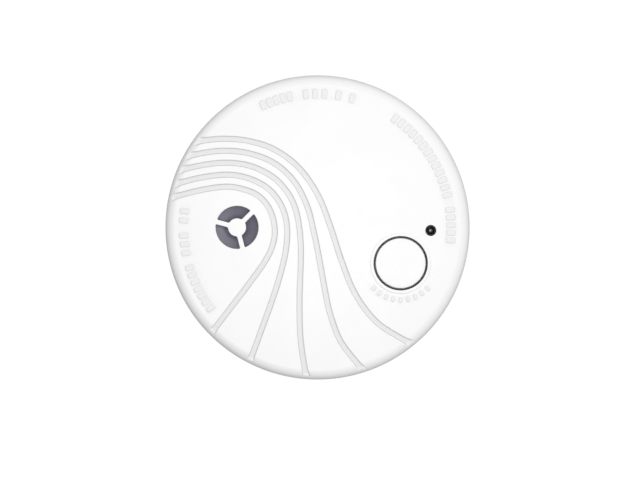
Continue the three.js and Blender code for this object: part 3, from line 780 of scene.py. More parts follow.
def metal(name, color, rough, grain=(0.2, 0.2, 4.0)):
    """Streaked metal with dull patches and brighter edges. grain is the streak size along X, Y and Z."""
    look = Shader(name)
    scale = tuple(1 / (size * MM) for size in grain)
    stretch = look.add("ShaderNodeMapping", {"Vector": look.place, "Scale": scale}).outputs[0]
    streaks = look.add("ShaderNodeTexNoise", {"Vector": stretch, "Scale": 1.0, "Detail": 3.0}).outputs[0]
    patches = look.noise(2.5, detail=4)
    base = look.mix(look.between(patches, 0, 1, 0.4, 0.7), color, tuple(c * 0.85 for c in color))
    base = look.mix(look.between(look.edges(), 0, 0.5), base, tuple(min(1, c * 1.15) for c in color))
    roughness = look.between(streaks, rough - 0.07, rough + 0.1, 0.3, 0.7)
    look.set(Base_Color=base, Metallic=1.0, Roughness=roughness, Normal=look.bump(streaks, 0.004))
    return look.material


def clear_resin(name, color):
    """Clear cast resin with faint flow lines."""
    look = Shader(name)
    flow = look.noise(1.2, detail=2)
    base = look.mix(flow, color, tuple(c * 0.94 for c in color))
    look.set(Base_Color=base, Roughness=look.between(flow, 0.08, 0.16), Normal=look.bump(flow, 0.01))
    look.set(Transmission_Weight=0.85, IOR=1.5)
    return look.material


def smoked_lens():
    """Nearly black polished resin, through which the lamp below shows only when it is lit."""
    look = Shader("smoked_resin")
    flow = look.noise(0.7, detail=3)
    base = look.mix(flow, (0.012, 0.012, 0.013), (0.022, 0.022, 0.024))
    look.set(Base_Color=base, Roughness=look.between(flow, 0.06, 0.14), Normal=look.bump(flow, 0.006))
    look.set(IOR=1.5, Coat_Weight=0.5)
    return look.material


def circuit_board_look():
    """Green solder mask over copper tracks, with bare pads."""
    look = Shader("solder_mask")
    square, crossing = ({"Vector": look.place, "Scale": 1 / (size * MM)} for size in (5, 2.6))
    cells = look.add("ShaderNodeTexVoronoi", square, distance="CHEBYCHEV")
    tracks = look.add("ShaderNodeTexVoronoi", crossing, feature="DISTANCE_TO_EDGE")
    line = look.between(tracks.outputs["Distance"], 1, 0, 0.05, 0.09)
    pad = look.between(cells.outputs["Distance"], 1, 0, 0.07, 0.09)
    green = look.mix(line, (0.012, 0.12, 0.04), (0.03, 0.22, 0.08))
    base = look.mix(pad, green, (0.62, 0.6, 0.56))
    raised = look.calculate("MAXIMUM", line, pad)
    weave = look.noise(0.5, detail=2)
    normal = look.bump(raised, 0.035, look.bump(weave, 0.006))
    look.set(Base_Color=base, Metallic=look.between(pad, 0, 0.9), Normal=normal)
    look.set(Roughness=look.between(weave, 0.3, 0.45))
    return look.material


def gauze_look():
    """Dull wire, with lighter and darker bands about 3 mm apart both ways."""
    look = Shader("woven_gauze")
    wires = []
    for direction in ("X", "Z"):
        thread_scale = {"Vector": look.place, "Scale": 1 / (10 * MM)}
        wave = look.add("ShaderNodeTexWave", thread_scale, bands_direction=direction)
        wires.append(look.between(wave.outputs["Fac"], 0, 1, 0.2, 0.9))
    weave = look.calculate("MAXIMUM", *wires)
    base = look.mix(weave, (0.02, 0.02, 0.022), (0.3, 0.3, 0.31))
    look.set(Base_Color=base, Metallic=0.9, Roughness=look.between(weave, 0.6, 0.3))
    look.set(Normal=look.bump(weave, 0.08))
    return look.material


def wound_wire():
    """Enamelled copper wire wound side by side."""
    look = Shader("wound_copper")
    turns = look.add("ShaderNodeTexWave", {"Vector": look.place, "Scale": 1 / (6 * MM)}, bands_direction="Z")
    # Darker where the bump is low, between the turns: painted shade in the grooves.
    groove = look.between(turns.outputs["Fac"], 0, 1, 0.1, 0.8)
    spread = look.noise(0.8, detail=3)
    bright = look.mix(spread, (0.55, 0.2, 0.06), (0.7, 0.3, 0.1))
    base = look.mix(groove, (0.16, 0.05, 0.02), bright)
    look.set(Base_Color=base, Metallic=0.85, Roughness=look.between(spread, 0.25, 0.4))
    look.set(Normal=look.bump(groove, 0.1))
    return look.material


def battery_wrap():
    """A shrunk sleeve with two plain bands of colour and fine creases, over a steel end."""
    look = Shader("battery_wrap")
    x = look.add("ShaderNodeSeparateXYZ", {"Vector": look.place}).outputs["X"]
    low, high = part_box("battery")
    band = look.between(x, 0, 1, low.x + 0.62 * (high.x - low.x), low.x + 0.625 * (high.x - low.x))
    sleeve = look.mix(band, (0.05, 0.1, 0.32), (0.5, 0.52, 0.55))
    end = look.between(x, 0, 1, high.x - 1.6 * MM, high.x - 1.5 * MM)
    creases = look.noise(1.5, detail=5, roughness=0.7)
    base = look.mix(end, look.mix(look.between(creases, 0, 0.2), sleeve, (0.3, 0.32, 0.36)), (0.6, 0.6, 0.6))
    look.set(Base_Color=base, Metallic=end, Roughness=look.between(creases, 0.22, 0.4))
    look.set(Normal=look.bump(creases, 0.03), Coat_Weight=0.3)
    return look.material


def ceramic_look():
    """Fired silver over piezo ceramic."""
    look = Shader("fired_silver")
    grains = look.noise(0.4, detail=5, roughness=0.7)
    stain = look.noise(4, detail=3)
    base = look.mix(stain, (0.8, 0.79, 0.75), (0.66, 0.65, 0.62))
    look.set(Base_Color=base, Metallic=0.55, Roughness=look.between(grains, 0.45, 0.65))
    look.set(Normal=look.bump(grains, 0.01))
    return look.material


def label_look():
    """Blank silver polyester label with a printed border line and faint handling marks."""
    look = Shader("silver_label")
    split = look.add("ShaderNodeSeparateXYZ", {"Vector": look.place}).outputs
    flat = look.add("ShaderNodeCombineXYZ", {"X": split["X"], "Y": split["Y"]}).outputs[0]
    radius = look.add("ShaderNodeVectorMath", {0: flat}, operation="LENGTH").outputs["Value"]
    ring = look.between(radius, 1, 0, 10.9 * MM, 11.0 * MM)
    rim = look.between(radius, 0, 1, 10.5 * MM, 10.6 * MM)
    line = look.calculate("MULTIPLY", ring, rim)
    smears = look.noise(3, detail=4)
    base = look.mix(line, look.mix(smears, (0.72, 0.73, 0.74), (0.66, 0.67, 0.68)), (0.12, 0.12, 0.13))
    look.set(Base_Color=base, Metallic=0.35, Roughness=look.between(smears, 0.3, 0.45))
    look.set(Normal=look.bump(smears, 0.006))
    return look.material


WHITE = (0.9, 0.9, 0.9)
LOOKS = {
    "white_shell": moulded("white_abs", WHITE, 0.42, grain=0.3, depth=0.0035, clouding=0.985, takes_painted_shade=True),
    "white_base": moulded("white_abs_matt", (0.86, 0.86, 0.85), 0.52, grain=0.5, depth=0.006, clouding=0.95),
    "horn_grey": moulded("grey_abs", (0.195, 0.18, 0.245), 0.3, grain=0.4, depth=0.004, clouding=0.9),
    "black_plastic": moulded("black_nylon", (0.018, 0.018, 0.02), 0.42, grain=0.3, depth=0.006, clouding=0.7),
    "green_board": circuit_board_look(),
    "steel": metal("plated_steel", (0.62, 0.62, 0.64), 0.28),
    "brass": metal("rolled_brass", (0.76, 0.58, 0.26), 0.26, grain=(4.0, 0.15, 0.15)),
    "ceramic": ceramic_look(),
    "clear_plastic": clear_resin("clear_resin", (0.86, 0.89, 0.9)),
    "gauze": gauze_look(),
    "battery_can": battery_wrap(),
    "coil": wound_wire(),
    "label": label_look(),
}


def dress(piece, slot):
    """Gives a piece the look of a material slot."""
    piece.data.materials.clear()
    piece.data.materials.append(LOOKS[slot])


def fit(piece, body, slot, *nodes):
    """Puts a finished piece on its body in place of CAD nodes."""
    dress(piece, slot)
    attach(piece, body)
    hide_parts(*nodes)
    return piece


NODE_SLOTS = {part["node"]: part["material_slot"] for part in frame["record"]["subparts"]}
for node, part in frame["nodes"].items():
    dress(part, NODE_SLOTS[node])


# ---- Pieces ----

fit(front_cover(), "head_body", "white_shell", "front_cover")


def follow_dome(piece, centre, start):
    """Leans the top of a turned piece so that it lies along the dome."""
    level = dome(np.hypot(*centre))
    for vertex in piece.data.vertices:
        x, y, z = vertex.co / MM
        share = min(max((z - start) / 0.8, 0), 1)
        vertex.co.z += share * (dome(math.hypot(x, y)) - level) * MM


def test_button():
    """The button: a shallow cap with a flange, a skirt and the stem that reaches the switch."""
    _, flange, bottom, _ = round_box("test_button")
    top = dome(np.hypot(*BUTTON)) + 0.15
    flange_top, flange_bottom, roof = 33.6, 32.4, 34.8
    corners = [
        (0, top - 0.12, 0), (BUTTON_RADIUS - 3.2, top - 0.04, 4), (BUTTON_RADIUS - 0.9, top, 1.2),
        (BUTTON_RADIUS, top - 0.06, 0.45), (BUTTON_RADIUS, flange_top, 0.1), (flange, flange_top, 0.2),
        (flange, flange_bottom, 0.2), (BUTTON_RADIUS - 1.8, flange_bottom, 0.2),
        (BUTTON_RADIUS - 1.8, roof, 0.3), (1.9, roof, 0.3), (1.9, bottom, 0.3), (0, bottom, 0),
    ]  # fmt: skip
    piece = turned("test_button_cap", corners, 160, BUTTON)
    follow_dome(piece, BUTTON, 35.4)
    return piece


fit(test_button(), "button_body", "white_shell", "test_button")


def sounder_horn():
    """The resonator behind the outlet: a round cup with a stepped lid and a vent."""
    _, outer, bottom, top = round_box("sounder_horn")
    plate = high_mm("piezo_plate").z
    vent, vent_top, rim, wall_inside = 2.5, top - 2, outer - 3, outer - 1.2
    corners = [
        (vent, vent_top - 1, 0.1), (rim, top - 1.2, 0.3), (wall_inside, top - 1.2, 0.3),
        (wall_inside, plate + 1.1, 0.1), (rim, plate + 1.1, 0.1), (rim, plate + 0.1, 0.05),
        (wall_inside, plate + 0.1, 0.05), (wall_inside, bottom, 0.1), (outer, bottom, 0.2), (outer, top, 0.4),
        (rim, top, 0.8), (vent + 0.6, vent_top, 0.4), (vent, vent_top - 0.1, 0.2),
    ]  # fmt: skip
    return turned("sounder_resonator", corners, 128, SOUNDER)


fit(sounder_horn(), "head_body", "horn_grey", "sounder_horn")


def led_sleeve():
    """Black sleeve that keeps the light guide dark round its edge."""
    _, flange, bottom, top = round_box("led_sleeve")
    inner, outer, flange_bottom, flange_top = 1.25, 1.8, 33.2, 34.3
    corners = [
        (inner, bottom, 0.1), (outer, bottom, 0.1), (outer, flange_bottom, 0.1), (flange, flange_bottom, 0.2),
        (flange, flange_top, 0.2), (outer, flange_top, 0.1), (outer, top - 0.1, 0.15),
        (inner + 0.1, top - 0.5, 0.1), (inner, top - 0.9, 0.1),
    ]  # fmt: skip
    return turned("status_light_sleeve", corners, 64, LED)


fit(led_sleeve(), "head_body", "black_plastic", "led_sleeve")


def light_guide():
    """The guide inside the sleeve, its end slightly domed."""
    _, radius, bottom, top = round_box("light_guide")
    corners = [
        (0, bottom, 0), (radius, bottom, 0.2), (radius, top - 0.5, 0.3), (radius * 0.7, top - 0.12, 0.4),
        (0, top, 0),
    ]  # fmt: skip
    return turned("status_light_tip", corners, 48, LED)


fit(light_guide(), "head_body", "clear_plastic", "light_guide").data.materials[0] = smoked_lens()


def button_ring():
    """The black ring that lines the button's hole, its foot under the cover. Its black stands in for the
    shade deep in the gap round the button.
    """
    _, foot, bottom, _ = round_box("button_ring")
    inner, outer = 9.45, 9.85
    top, foot_top = dome(np.hypot(*BUTTON)) - 0.5, bottom + 0.6
    corners = [
        (inner, bottom, 0.1), (foot, bottom, 0.1), (foot, foot_top, 0.1), (outer, foot_top, 0.05),
        (outer, top - 0.05, 0.12), (inner, top, 0.12),
    ]  # fmt: skip
    piece = turned("button_gap_shade_liner", corners, 160, BUTTON)
    follow_dome(piece, BUTTON, 35.2)
    return piece


# A black part put in the gap round the button, as painted shade.
fit(button_ring(), "head_body", "black_plastic", "button_ring")


# ---- Solids joined and cut ----


def prism(name, outline, bottom, top, edge=0.0):
    """An upright solid over an anticlockwise outline, with its top and bottom edges rounded."""
    outline = np.asarray(outline, float)
    ahead = np.roll(outline, -1, axis=0) - np.roll(outline, 1, axis=0)
    inward = np.column_stack([-ahead[:, 1], ahead[:, 0]]) / np.hypot(*ahead.T)[:, None]
    turn = np.radians([0, 30, 60, 90] if edge else [90])
    steps = [(edge * (1 - math.sin(a)), edge * (1 - math.cos(a))) for a in turn]
    levels = [(bottom + rise, inset) for inset, rise in steps]
    levels += [(top - rise, inset) for inset, rise in steps[::-1]]
    count = len(outline)
    points = [(*p, z) for z, inset in levels for p in outline + inward * inset]
    rings = numbered(count, len(levels))
    faces = [rings[0][::-1], rings[-1]]
    for low, high in zip(rings, rings[1:]):
        faces += wall(high, low)
    return closed_object(name, points, faces)


def sector(inner, outer, first, last, step=2.0):
    """Outline of part of a ring between two angles."""
    count = max(3, int((last - first) / step) + 1)
    return np.vstack([
        on_circle((0, 0), outer, np.linspace(first, last, count)),
        on_circle((0, 0), inner, np.linspace(last, first, count)),
    ])


def slot_outline(x, length, width):
    """Outline of a slot with round ends, its length along Y and its middle on the X axis."""
    straight, turn = (length - width) / 2, np.linspace(0, 180, 12)
    ends = ((straight, turn), (-straight, 180 + turn))
    return np.vstack([on_circle((x, end), width / 2, angles) for end, angles in ends])


def pin(name, spot, radius, bottom, top, edge=0.0, segments=48):
    corners = [(0, bottom, 0), (radius, bottom, edge), (radius, top, edge), (0, top, 0)]
    return turned(name, corners, segments, spot)


# Points that a join leaves closer together than this become one, in mm.
WELD = 0.001


def combined(piece, others, operation="UNION"):
    """Joins other solids to a piece, or cuts them from it, and removes them."""
    for other in others:
        join = piece.modifiers.new("join", "BOOLEAN")
        join.operation, join.object, join.solver = operation, other, "MANIFOLD"
    shape = bpy.data.meshes.new_from_object(piece.evaluated_get(bpy.context.evaluated_depsgraph_get()))
    work = bmesh.new()
    work.from_mesh(shape)
    bmesh.ops.remove_doubles(work, verts=work.verts, dist=WELD * MM)
    work.to_mesh(shape)
    work.free()
    shape.name = piece.name
    piece.modifiers.clear()
    piece.data = shape
    for other in others:
        bpy.data.objects.remove(other)
    shape.shade_smooth()
    shape.set_sharp_from_angle(angle=math.radians(SHARP_ANGLE))
    return piece


def cut(piece, others):
    return combined(piece, others, "DIFFERENCE")


# ---- Rear housing, inlet grille and mounting base ----

BACK_BOTTOM = 8.5
BACK_TOP = 10.5
HOUSING_TOP = 17.5
LUG_ANGLES = (50, 170, 290)
BOARD_SCREWS = [middle(f"board_screw_{i}").xy for i in (1, 2, 3)]
# Where the base switch's pin stands, and how far the head twists over its ramp, in degrees.
PIN_SPOT = middle("base_switch_pin").xy
PIN_ANGLE = 245
PIN_RADIUS = 34
TWIST = 20


def rear_housing():
    """The dish behind the cover, with its bosses, board posts, bayonet lugs and switch pin's guide."""
    radius = high_mm("rear_housing").x
    skirt_bottom = low_mm("rear_housing").z
    skirt_inside, side_inside = 50.7, 50.0
    corners = [
        (0, BACK_BOTTOM, 0), (skirt_inside, BACK_BOTTOM, 0.8), (skirt_inside, skirt_bottom, 0.4),
        (52.6, skirt_bottom, 0.7), (radius, HOUSING_TOP - 3, 5), (radius, HOUSING_TOP, 0.5),
        (side_inside, HOUSING_TOP, 0.3), (side_inside, BACK_TOP, 1.2), (0, BACK_TOP, 0),
    ]  # fmt: skip
    shell = turned("rear_housing_shell", corners, 288)
    inside, boss_top, post_top = BACK_BOTTOM + 0.5, 18.4, 13.9
    lug_bottom, lug_top, lug_half = 4.4, 5.9, 8
    added = [pin("boss", spot, 4.2, inside, boss_top, 0.3) for spot in CASE_SCREWS]
    added += [pin("post", spot, 2.8, inside, post_top, 0.2) for spot in BOARD_SCREWS]
    added.append(pin("guide", PIN_SPOT, 4, lug_top, BACK_TOP - 0.5, 0.3))
    for angle in LUG_ANGLES:
        first, last = angle - lug_half, angle + lug_half
        added.append(prism("lug_post", sector(40.5, 43, first, last), lug_bottom, inside, 0.2))
        added.append(prism("lug_foot", sector(42, 46, first, last), lug_bottom, lug_top, 0.3))
    # Two low stiffening ribs on the back plate's inner face, under the board.
    for angle in (15, 195):
        outline = sector(14.5, 38, angle - 1.2, angle + 1.2, 0.5)
        added.append(prism("rib", outline, BACK_TOP - 0.5, BACK_TOP + 1.2, 0.2))
    combined(shell, added)
    removed = [pin("bore", spot, 1.75, 7, 20) for spot in CASE_SCREWS]
    removed += [pin("pocket", spot, 3.0, 7, 11.3) for spot in CASE_SCREWS]
    removed += [pin("pilot", spot, 1.2, BACK_TOP, 15) for spot in BOARD_SCREWS]
    removed += [pin("pin_bore", PIN_SPOT, 1.8, 4, 12), pin("pin_counterbore", PIN_SPOT, 2.9, 7.6, 12)]
    return cut(shell, removed)


fit(rear_housing(), "head_body", "white_shell", "rear_housing")


def inlet_grille():
    """Two rings with eighty upright fins between them, which let the smoke in all round."""
    low, high = low_mm("inlet_grille"), high_mm("inlet_grille")
    outer = high.x
    inner, middle_radius, fins, sunk = outer - 3, outer - 1.5, 80, 0.4
    foot_top, ring_bottom = low.z + 1, high.z - 1.2
    rings = []
    for bottom, top in ((low.z, foot_top), (ring_bottom, high.z)):
        corners = [(inner, bottom, 0.15), (outer, bottom, 0.25), (outer, top, 0.25), (inner, top, 0.15)]
        rings.append(turned("grille_ring", corners, 320))
    half_fin = [(-1.4, -0.4), (-1.1, -0.7), (1.0, -0.7), (1.4, -0.3)]
    fin = half_fin + [(along, -across) for along, across in half_fin[::-1]]
    points, faces = [], []
    for index in range(fins):
        c, s = on_circle((0, 0), 1, [index * 360 / fins])[0]
        faces += bar_faces(len(fin), len(points))
        for z in (foot_top - sunk, ring_bottom + sunk):
            points += [((middle_radius + u) * c - v * s, (middle_radius + u) * s + v * c, z) for u, v in fin]
    return combined(closed_object("smoke_inlet_grille", points, faces), rings)


fit(inlet_grille(), "head_body", "white_shell", "inlet_grille")


def mounting_base():
    """The pan that stays on the ceiling: hooks inside, and shallow moulded recesses on the ceiling side."""
    radius, wall_top = high_mm("mounting_base").x, high_mm("mounting_base").z
    thick, opening, slot_place = 2, 14, 30
    under, over, recess_top = -1, 6, 0.8
    corners = [
        (0, 0, 0), (radius, 0, 0.4), (radius, wall_top, 0.5), (radius - thick, wall_top, 0.4),
        (radius - thick, thick, 0.5), (0, thick, 0),
    ]  # fmt: skip
    pan = turned("mounting_base_pan", corners, 288)
    bezel = [(opening, 1, 0), (15.6, 1, 0), (15.6, 4, 0.4), (opening, 4, 0.4)]
    added = [turned("bezel", bezel, 120)]
    for angle in LUG_ANGLES:
        added.append(prism("hook", sector(43.4, 47.5, angle - 12, angle + 9), 6.2, 7.8, 0.25))
        added.append(prism("stop", sector(43.4, 47.5, angle - 12, angle - 8.6, 1), 1.5, 7.0, 0.2))
    for side in (-1, 1):
        added.append(prism("slot_pad", slot_outline(side * slot_place, 17.6, 8.4), 1.5, 2.8, 0.3))
    combined(pan, added)
    removed = [pin("wiring_opening", (0, 0), opening, under, over, segments=120)]
    removed += [prism("slot", slot_outline(side * slot_place, 14, 4.8), under, over) for side in (-1, 1)]
    for start in range(0, 360, 60):
        for inner, outer, gap in ((37, 46, 3), (17, 24.5, 4)):
            outline = sector(inner, outer, start + gap, start + 60 - gap)
            removed.append(prism("recess", outline, under, recess_top))
    return cut(pan, removed)


def pin_ramp():
    """The ramp that holds the switch pin up while the head is locked, and lets it down over the twist."""
    bottom, top, drop, half = 1.5, 4.1, 2, 2.5
    angles = np.linspace(PIN_ANGLE - 6, PIN_ANGLE + TWIST + 6, 33)
    heights = top - drop * np.clip((angles - PIN_ANGLE) / TWIST, 0, 1)
    points, faces = [], []
    for angle, height in zip(angles, heights):
        near, far = (on_circle((0, 0), PIN_RADIUS + side * half, [angle])[0] for side in (-1, 1))
        points += [(*near, bottom), (*far, bottom), (*far, height), (*near, height)]
    sections = numbered(4, len(angles))
    for back, ahead in zip(sections, sections[1:]):
        faces += [[back[k], back[(k + 1) % 4], ahead[(k + 1) % 4], ahead[k]] for k in range(4)]
    faces += [sections[0][::-1], sections[-1]]
    return closed_object("pin_ramp", points, faces)


fit(combined(mounting_base(), [pin_ramp()]), "base_body", "white_base", "mounting_base")


# ---- Pieces inside the case ----


def fine(piece, node, body="head_body", slot=None):
    """Puts a finished piece in place of one CAD node, in that node's own slot unless another is named."""
    return fit(piece, body, slot or NODE_SLOTS[node], node)


def lay(piece, angle, spot, height):
    """Lays a piece that was turned about +Z on its side, pointing along an angle in plan, and moves it."""
    turn = Matrix.Rotation(math.radians(angle), 4, "Z") @ Matrix.Rotation(math.radians(90), 4, "Y")
    piece.data.transform(Matrix.Translation(Vector((*spot, height)) * MM) @ turn)
    return piece


def rounded_square(centre, width, length, radius, angle=0.0):
    """Outline of a rectangle with round corners, anticlockwise, turned by an angle in degrees."""
    c, s = on_circle((0, 0), 1, [angle])[0]
    outline = round_corners(width / 2 - radius, length / 2 - radius, radius)
    return outline @ np.array([[c, s], [-s, c]]) + np.array(centre)


def helix(name, centre, radius, wire, turns, bottom, top, steps=36, around=12):
    """Round wire wound upwards, its ends cut square. bottom and top are the heights of the wire's middle."""
    points = []
    for i in range(turns * steps + 1):
        turn = 2 * math.pi * i / steps
        middle_point = np.array([*centre, bottom + (top - bottom) * i / (turns * steps)])
        outward = np.array([math.cos(turn), math.sin(turn), 0])
        for part in np.arange(around) * 2 * math.pi / around:
            rise = np.array([0, 0, wire * math.sin(part)])
            points.append(middle_point + outward * (radius + wire * math.cos(part)) + rise)
    rings = numbered(around, turns * steps + 1)
    faces = [rings[0], rings[-1][::-1]]
    for back, ahead in zip(rings, rings[1:]):
        faces += wall(back, ahead)
    return closed_object(name, points, faces, sharp=50)


def thread(name, spot, core, crest, pitch, bottom, top):
    """A shank with a helical thread that runs out at both ends."""
    segments = 24
    heights = np.arange(bottom, top + pitch / 16, pitch / 8)
    points, rings = [(*spot, bottom)], []
    for z in heights:
        first = len(points)
        for k in range(segments):
            phase = (z / pitch - k / segments) % 1
            run_out = min(1, (z - bottom) / pitch, (top - z) / pitch)
            radius = core + (crest - core) * max(0, 1 - abs(phase - 0.5) / 0.3) * max(run_out, 0)
            turn = 2 * math.pi * k / segments
            points.append((spot[0] + radius * math.cos(turn), spot[1] + radius * math.sin(turn), z))
        rings.append(list(range(first, first + segments)))
    points.append((*spot, heights[-1]))
    faces = [[0, rings[0][(k + 1) % segments], rings[0][k]] for k in range(segments)]
    for low, high in zip(rings, rings[1:]):
        faces += wall(high, low)
    faces += [[len(points) - 1, rings[-1][k], rings[-1][(k + 1) % segments]] for k in range(segments)]
    return closed_object(name, points, faces)


def cross_recess(spot, length, width, bottom, top):
    bars = ((length, width), (width, length))
    return [prism("recess", rounded_square(spot, *sides, 0.2), bottom, top) for sides in bars]


def case_screw(node):
    """A pan-head self-tapping screw from behind: its head is the lower end."""
    spot, head, bottom, tip = round_box(node)
    head_top, core, crest, pitch = bottom + 2, 0.95, 1.25, 1.1
    corners = [(0, bottom, 0), (head, bottom, 0.9), (head, head_top, 0.15), (0, head_top, 0)]
    piece = turned(node + "_pan_head", corners, 48, spot)
    combined(piece, [thread("shank", spot, core, crest, pitch, head_top - 0.3, tip)])
    return cut(piece, cross_recess(spot, 3.0, 0.75, bottom - 1, bottom + 1.1))


def board_screw(node):
    """A small pan-head screw that holds the board down on its post."""
    spot, head, tip, top = round_box(node)
    seat, core, crest, pitch = top - 1.5, 0.75, 1.0, 0.8
    corners = [(0, seat, 0), (head, seat, 0.12), (head, top, 0.8), (0, top, 0)]
    piece = turned(node + "_pan_head", corners, 48, spot)
    combined(piece, [thread("shank", spot, core, crest, pitch, tip, seat + 0.3)])
    return cut(piece, cross_recess(spot, 2.6, 0.6, top - 0.8, top + 1))


for index in (1, 2, 3):
    for kind, make in (("case_screw", case_screw), ("board_screw", board_screw)):
        node = f"{kind}_{index}"
        fine(make(node), node)


def microcontroller():
    """A flat square package with a chamfered lid edge and a round dimple at its first lead."""
    spot, _, bottom, top = round_box("microcontroller")
    body = prism("microcontroller_package", rounded_square(spot, 5.2, 5.2, 0.3), bottom + 0.15, top, 0.18)
    return cut(body, [pin("dimple", spot + Vector((-1.8, 1.8)), 0.35, top - 0.08, top + 1)])


def chip_leads():
    """Gull-wing leads, eight to a side, from the package's waist down to the board."""
    spot, _, board, _ = round_box("microcontroller")
    pitch, half_width = 0.6, 0.14
    upper = [(2.5, 0.7), (2.95, 0.7), (3.1, 0.17), (3.45, 0.17)]
    side = upper + [(3.45, 0.02), (3.0, 0.02), (2.85, 0.55), (2.5, 0.55)]
    points, faces = [], []
    for quarter in range(4):
        c, s = on_circle((0, 0), 1, [90 * quarter])[0]
        for along in (np.arange(8) - 3.5) * pitch:
            faces += bar_faces(len(side), len(points))
            for v in (along - half_width, along + half_width):
                points += [(spot[0] + u * c - v * s, spot[1] + u * s + v * c, board + z) for u, z in side]
    return closed_object("microcontroller_leads", points, faces)


fine(microcontroller(), "microcontroller")
fine(chip_leads(), "microcontroller", slot="steel")


def capacitor():
    """An aluminium can crimped near its foot, its top scored so that it can vent."""
    spot, radius, bottom, top = round_box("capacitor")
    crimp = bottom + 1.3
    corners = [
        (0, bottom, 0), (radius - 0.3, bottom, 0.15), (radius, bottom + 0.4, 0.2), (radius, crimp - 0.5, 0.3),
        (radius - 0.35, crimp, 0.3), (radius, crimp + 0.5, 0.3), (radius, top, 0.5), (0, top, 0),
    ]  # fmt: skip
    can = turned("capacitor_can", corners, 64, spot)
    outlines = [rounded_square(spot, 4.2, 0.22, 0.1, angle) for angle in (0, 60, 120)]
    return cut(can, [prism("score", outline, top - 0.12, top + 1) for outline in outlines])


# The bobbin's drum radius, and how thick its lower and upper flanges are.
COIL_DRUM = 2.3
COIL_START = 1.6
COIL_END = 1.3


def coil_bobbin():
    """The black bobbin, with a flange at each end of its drum."""
    spot, flange, bottom, top = round_box("horn_coil")
    start, end = bottom + COIL_START, top - COIL_END
    corners = [
        (0, bottom, 0), (flange, bottom, 0.15), (flange, start, 0.15), (COIL_DRUM, start, 0),
        (COIL_DRUM, end, 0), (flange, end, 0.15), (flange, top, 0.3), (1.4, top, 0.1), (1.2, top - 0.25, 0.1),
        (0, top - 0.25, 0),
    ]  # fmt: skip
    return turned("horn_coil_bobbin", corners, 64, spot)


def coil_winding():
    """The winding, its outer layer's turns showing one above the other."""
    spot, _, bottom, top = round_box("horn_coil")
    start, end, inner = bottom + COIL_START + 0.02, top - COIL_END - 0.02, COIL_DRUM + 0.02
    turns = 14
    pitch = (end - start) / turns
    corners = [(inner, start, 0), (3.0, start, 0)]
    for turn in range(turns):
        corners += [(3.15, start + (turn + 0.5) * pitch, 0.1), (3.0, start + (turn + 1) * pitch, 0)]
    corners.append((inner, end, 0))
    return turned("horn_coil_winding", corners, 64, spot)


fine(capacitor(), "capacitor")
fine(coil_bobbin(), "horn_coil", slot="black_plastic")
fine(coil_winding(), "horn_coil")

CHAMBER = middle("chamber_cap").xy
OPTIC_ANGLES = {"ir_emitter": 200, "photodiode": 320}
OPTIC_DISTANCE = 13.5


def chamber_base():
    """The labyrinth's floor with its slanted vanes and the two seats of the optical parts."""
    _, radius, bottom, top = round_box("chamber_base")
    floor_top, seat_top = bottom + 2, middle("ir_emitter").z - 2.7
    floor_piece = pin("chamber_labyrinth", CHAMBER, radius, bottom, floor_top, 0.3, 128)
    added = []
    for angle in range(0, 360, 20):
        if all(abs(angle - optic) > 21 for optic in OPTIC_ANGLES.values()):
            outline = rounded_square(on_circle(CHAMBER, 15, [angle])[0], 6.5, 1, 0.45, angle + 45)
            added.append(prism("vane", outline, floor_top - 0.5, top, 0.15))
    for angle in OPTIC_ANGLES.values():
        outline = rounded_square(on_circle(CHAMBER, OPTIC_DISTANCE, [angle])[0], 7, 6, 0.5, angle)
        added.append(prism("seat", outline, floor_top - 0.5, seat_top, 0.25))
    return combined(floor_piece, added)


def chamber_cap():
    """The lid, with a skirt that laps over the gauze and a shallow dished middle."""
    _, radius, bottom, top = round_box("chamber_cap")
    under, lip = bottom + 1.4, bottom + 2
    corners = [
        (0, under, 0), (radius - 1.8, under, 0.1), (radius - 1.8, lip, 0.1), (radius - 0.9, lip, 0.1),
        (radius - 0.9, bottom, 0.2), (radius, bottom, 0.3), (radius, top - 0.5, 0.8),
        (radius - 1.6, top, 0.5), (radius - 3.5, top, 0.3), (radius - 4.5, top - 0.4, 0.3), (0, top - 0.4, 0),
    ]  # fmt: skip
    return turned("chamber_lid", corners, 128, CHAMBER)


def insect_gauze():
    """Woven wire: hoops that wave in and out past straight upright wires."""
    _, outer, bottom, top = round_box("insect_gauze")
    radius, wire, uprights, hoops = outer - 0.2, 0.09, 180, 16
    points, faces, around, steps = [], [], 6, 720
    ring_angles = np.arange(around) * 360 / around
    for hoop in range(hoops):
        z, start = bottom + 0.5 + (top - bottom - 1) * hoop / (hoops - 1), len(points)
        for step in range(steps):
            turn = 2 * math.pi * step / steps
            reach = radius + 0.1 * math.cos(turn * uprights / 2 + hoop * math.pi)
            for u, v in on_circle((0, 0), wire, ring_angles):
                x, y = (reach + u) * math.cos(turn), (reach + u) * math.sin(turn)
                points.append((CHAMBER[0] + x, CHAMBER[1] + y, z + v))
        sections = numbered(around, steps, start)
        for back, ahead in zip(sections, sections[1:] + sections[:1]):
            faces += wall(back, ahead)
    for index in range(uprights):
        spot = on_circle(CHAMBER, radius, [(index + 0.5) * 360 / uprights])[0]
        faces += bar_faces(around, len(points))
        for z in (bottom, top):
            points += [(*p, z) for p in on_circle(spot, wire, ring_angles)]
    return closed_object("insect_gauze_weave", points, faces, sharp=60)


def optical_part(node):
    """A 5 mm optical part with a flange at its foot and a domed lens, lying towards the chamber's middle."""
    angle, height = OPTIC_ANGLES[node], middle(node).z
    corners = [
        (0, -4.5, 0), (2.5, -4.5, 0.15), (2.5, -3.5, 0.15), (2.3, -3.4, 0.1), (2.3, 1.9, 0.6),
        (1.7, 3.8, 1.0), (0.8, 4.4, 0.6), (0, 4.5, 0),
    ]  # fmt: skip
    piece = turned(node + "_body", corners, 48)
    return lay(piece, angle + 180, on_circle(CHAMBER, OPTIC_DISTANCE, [angle])[0], height)


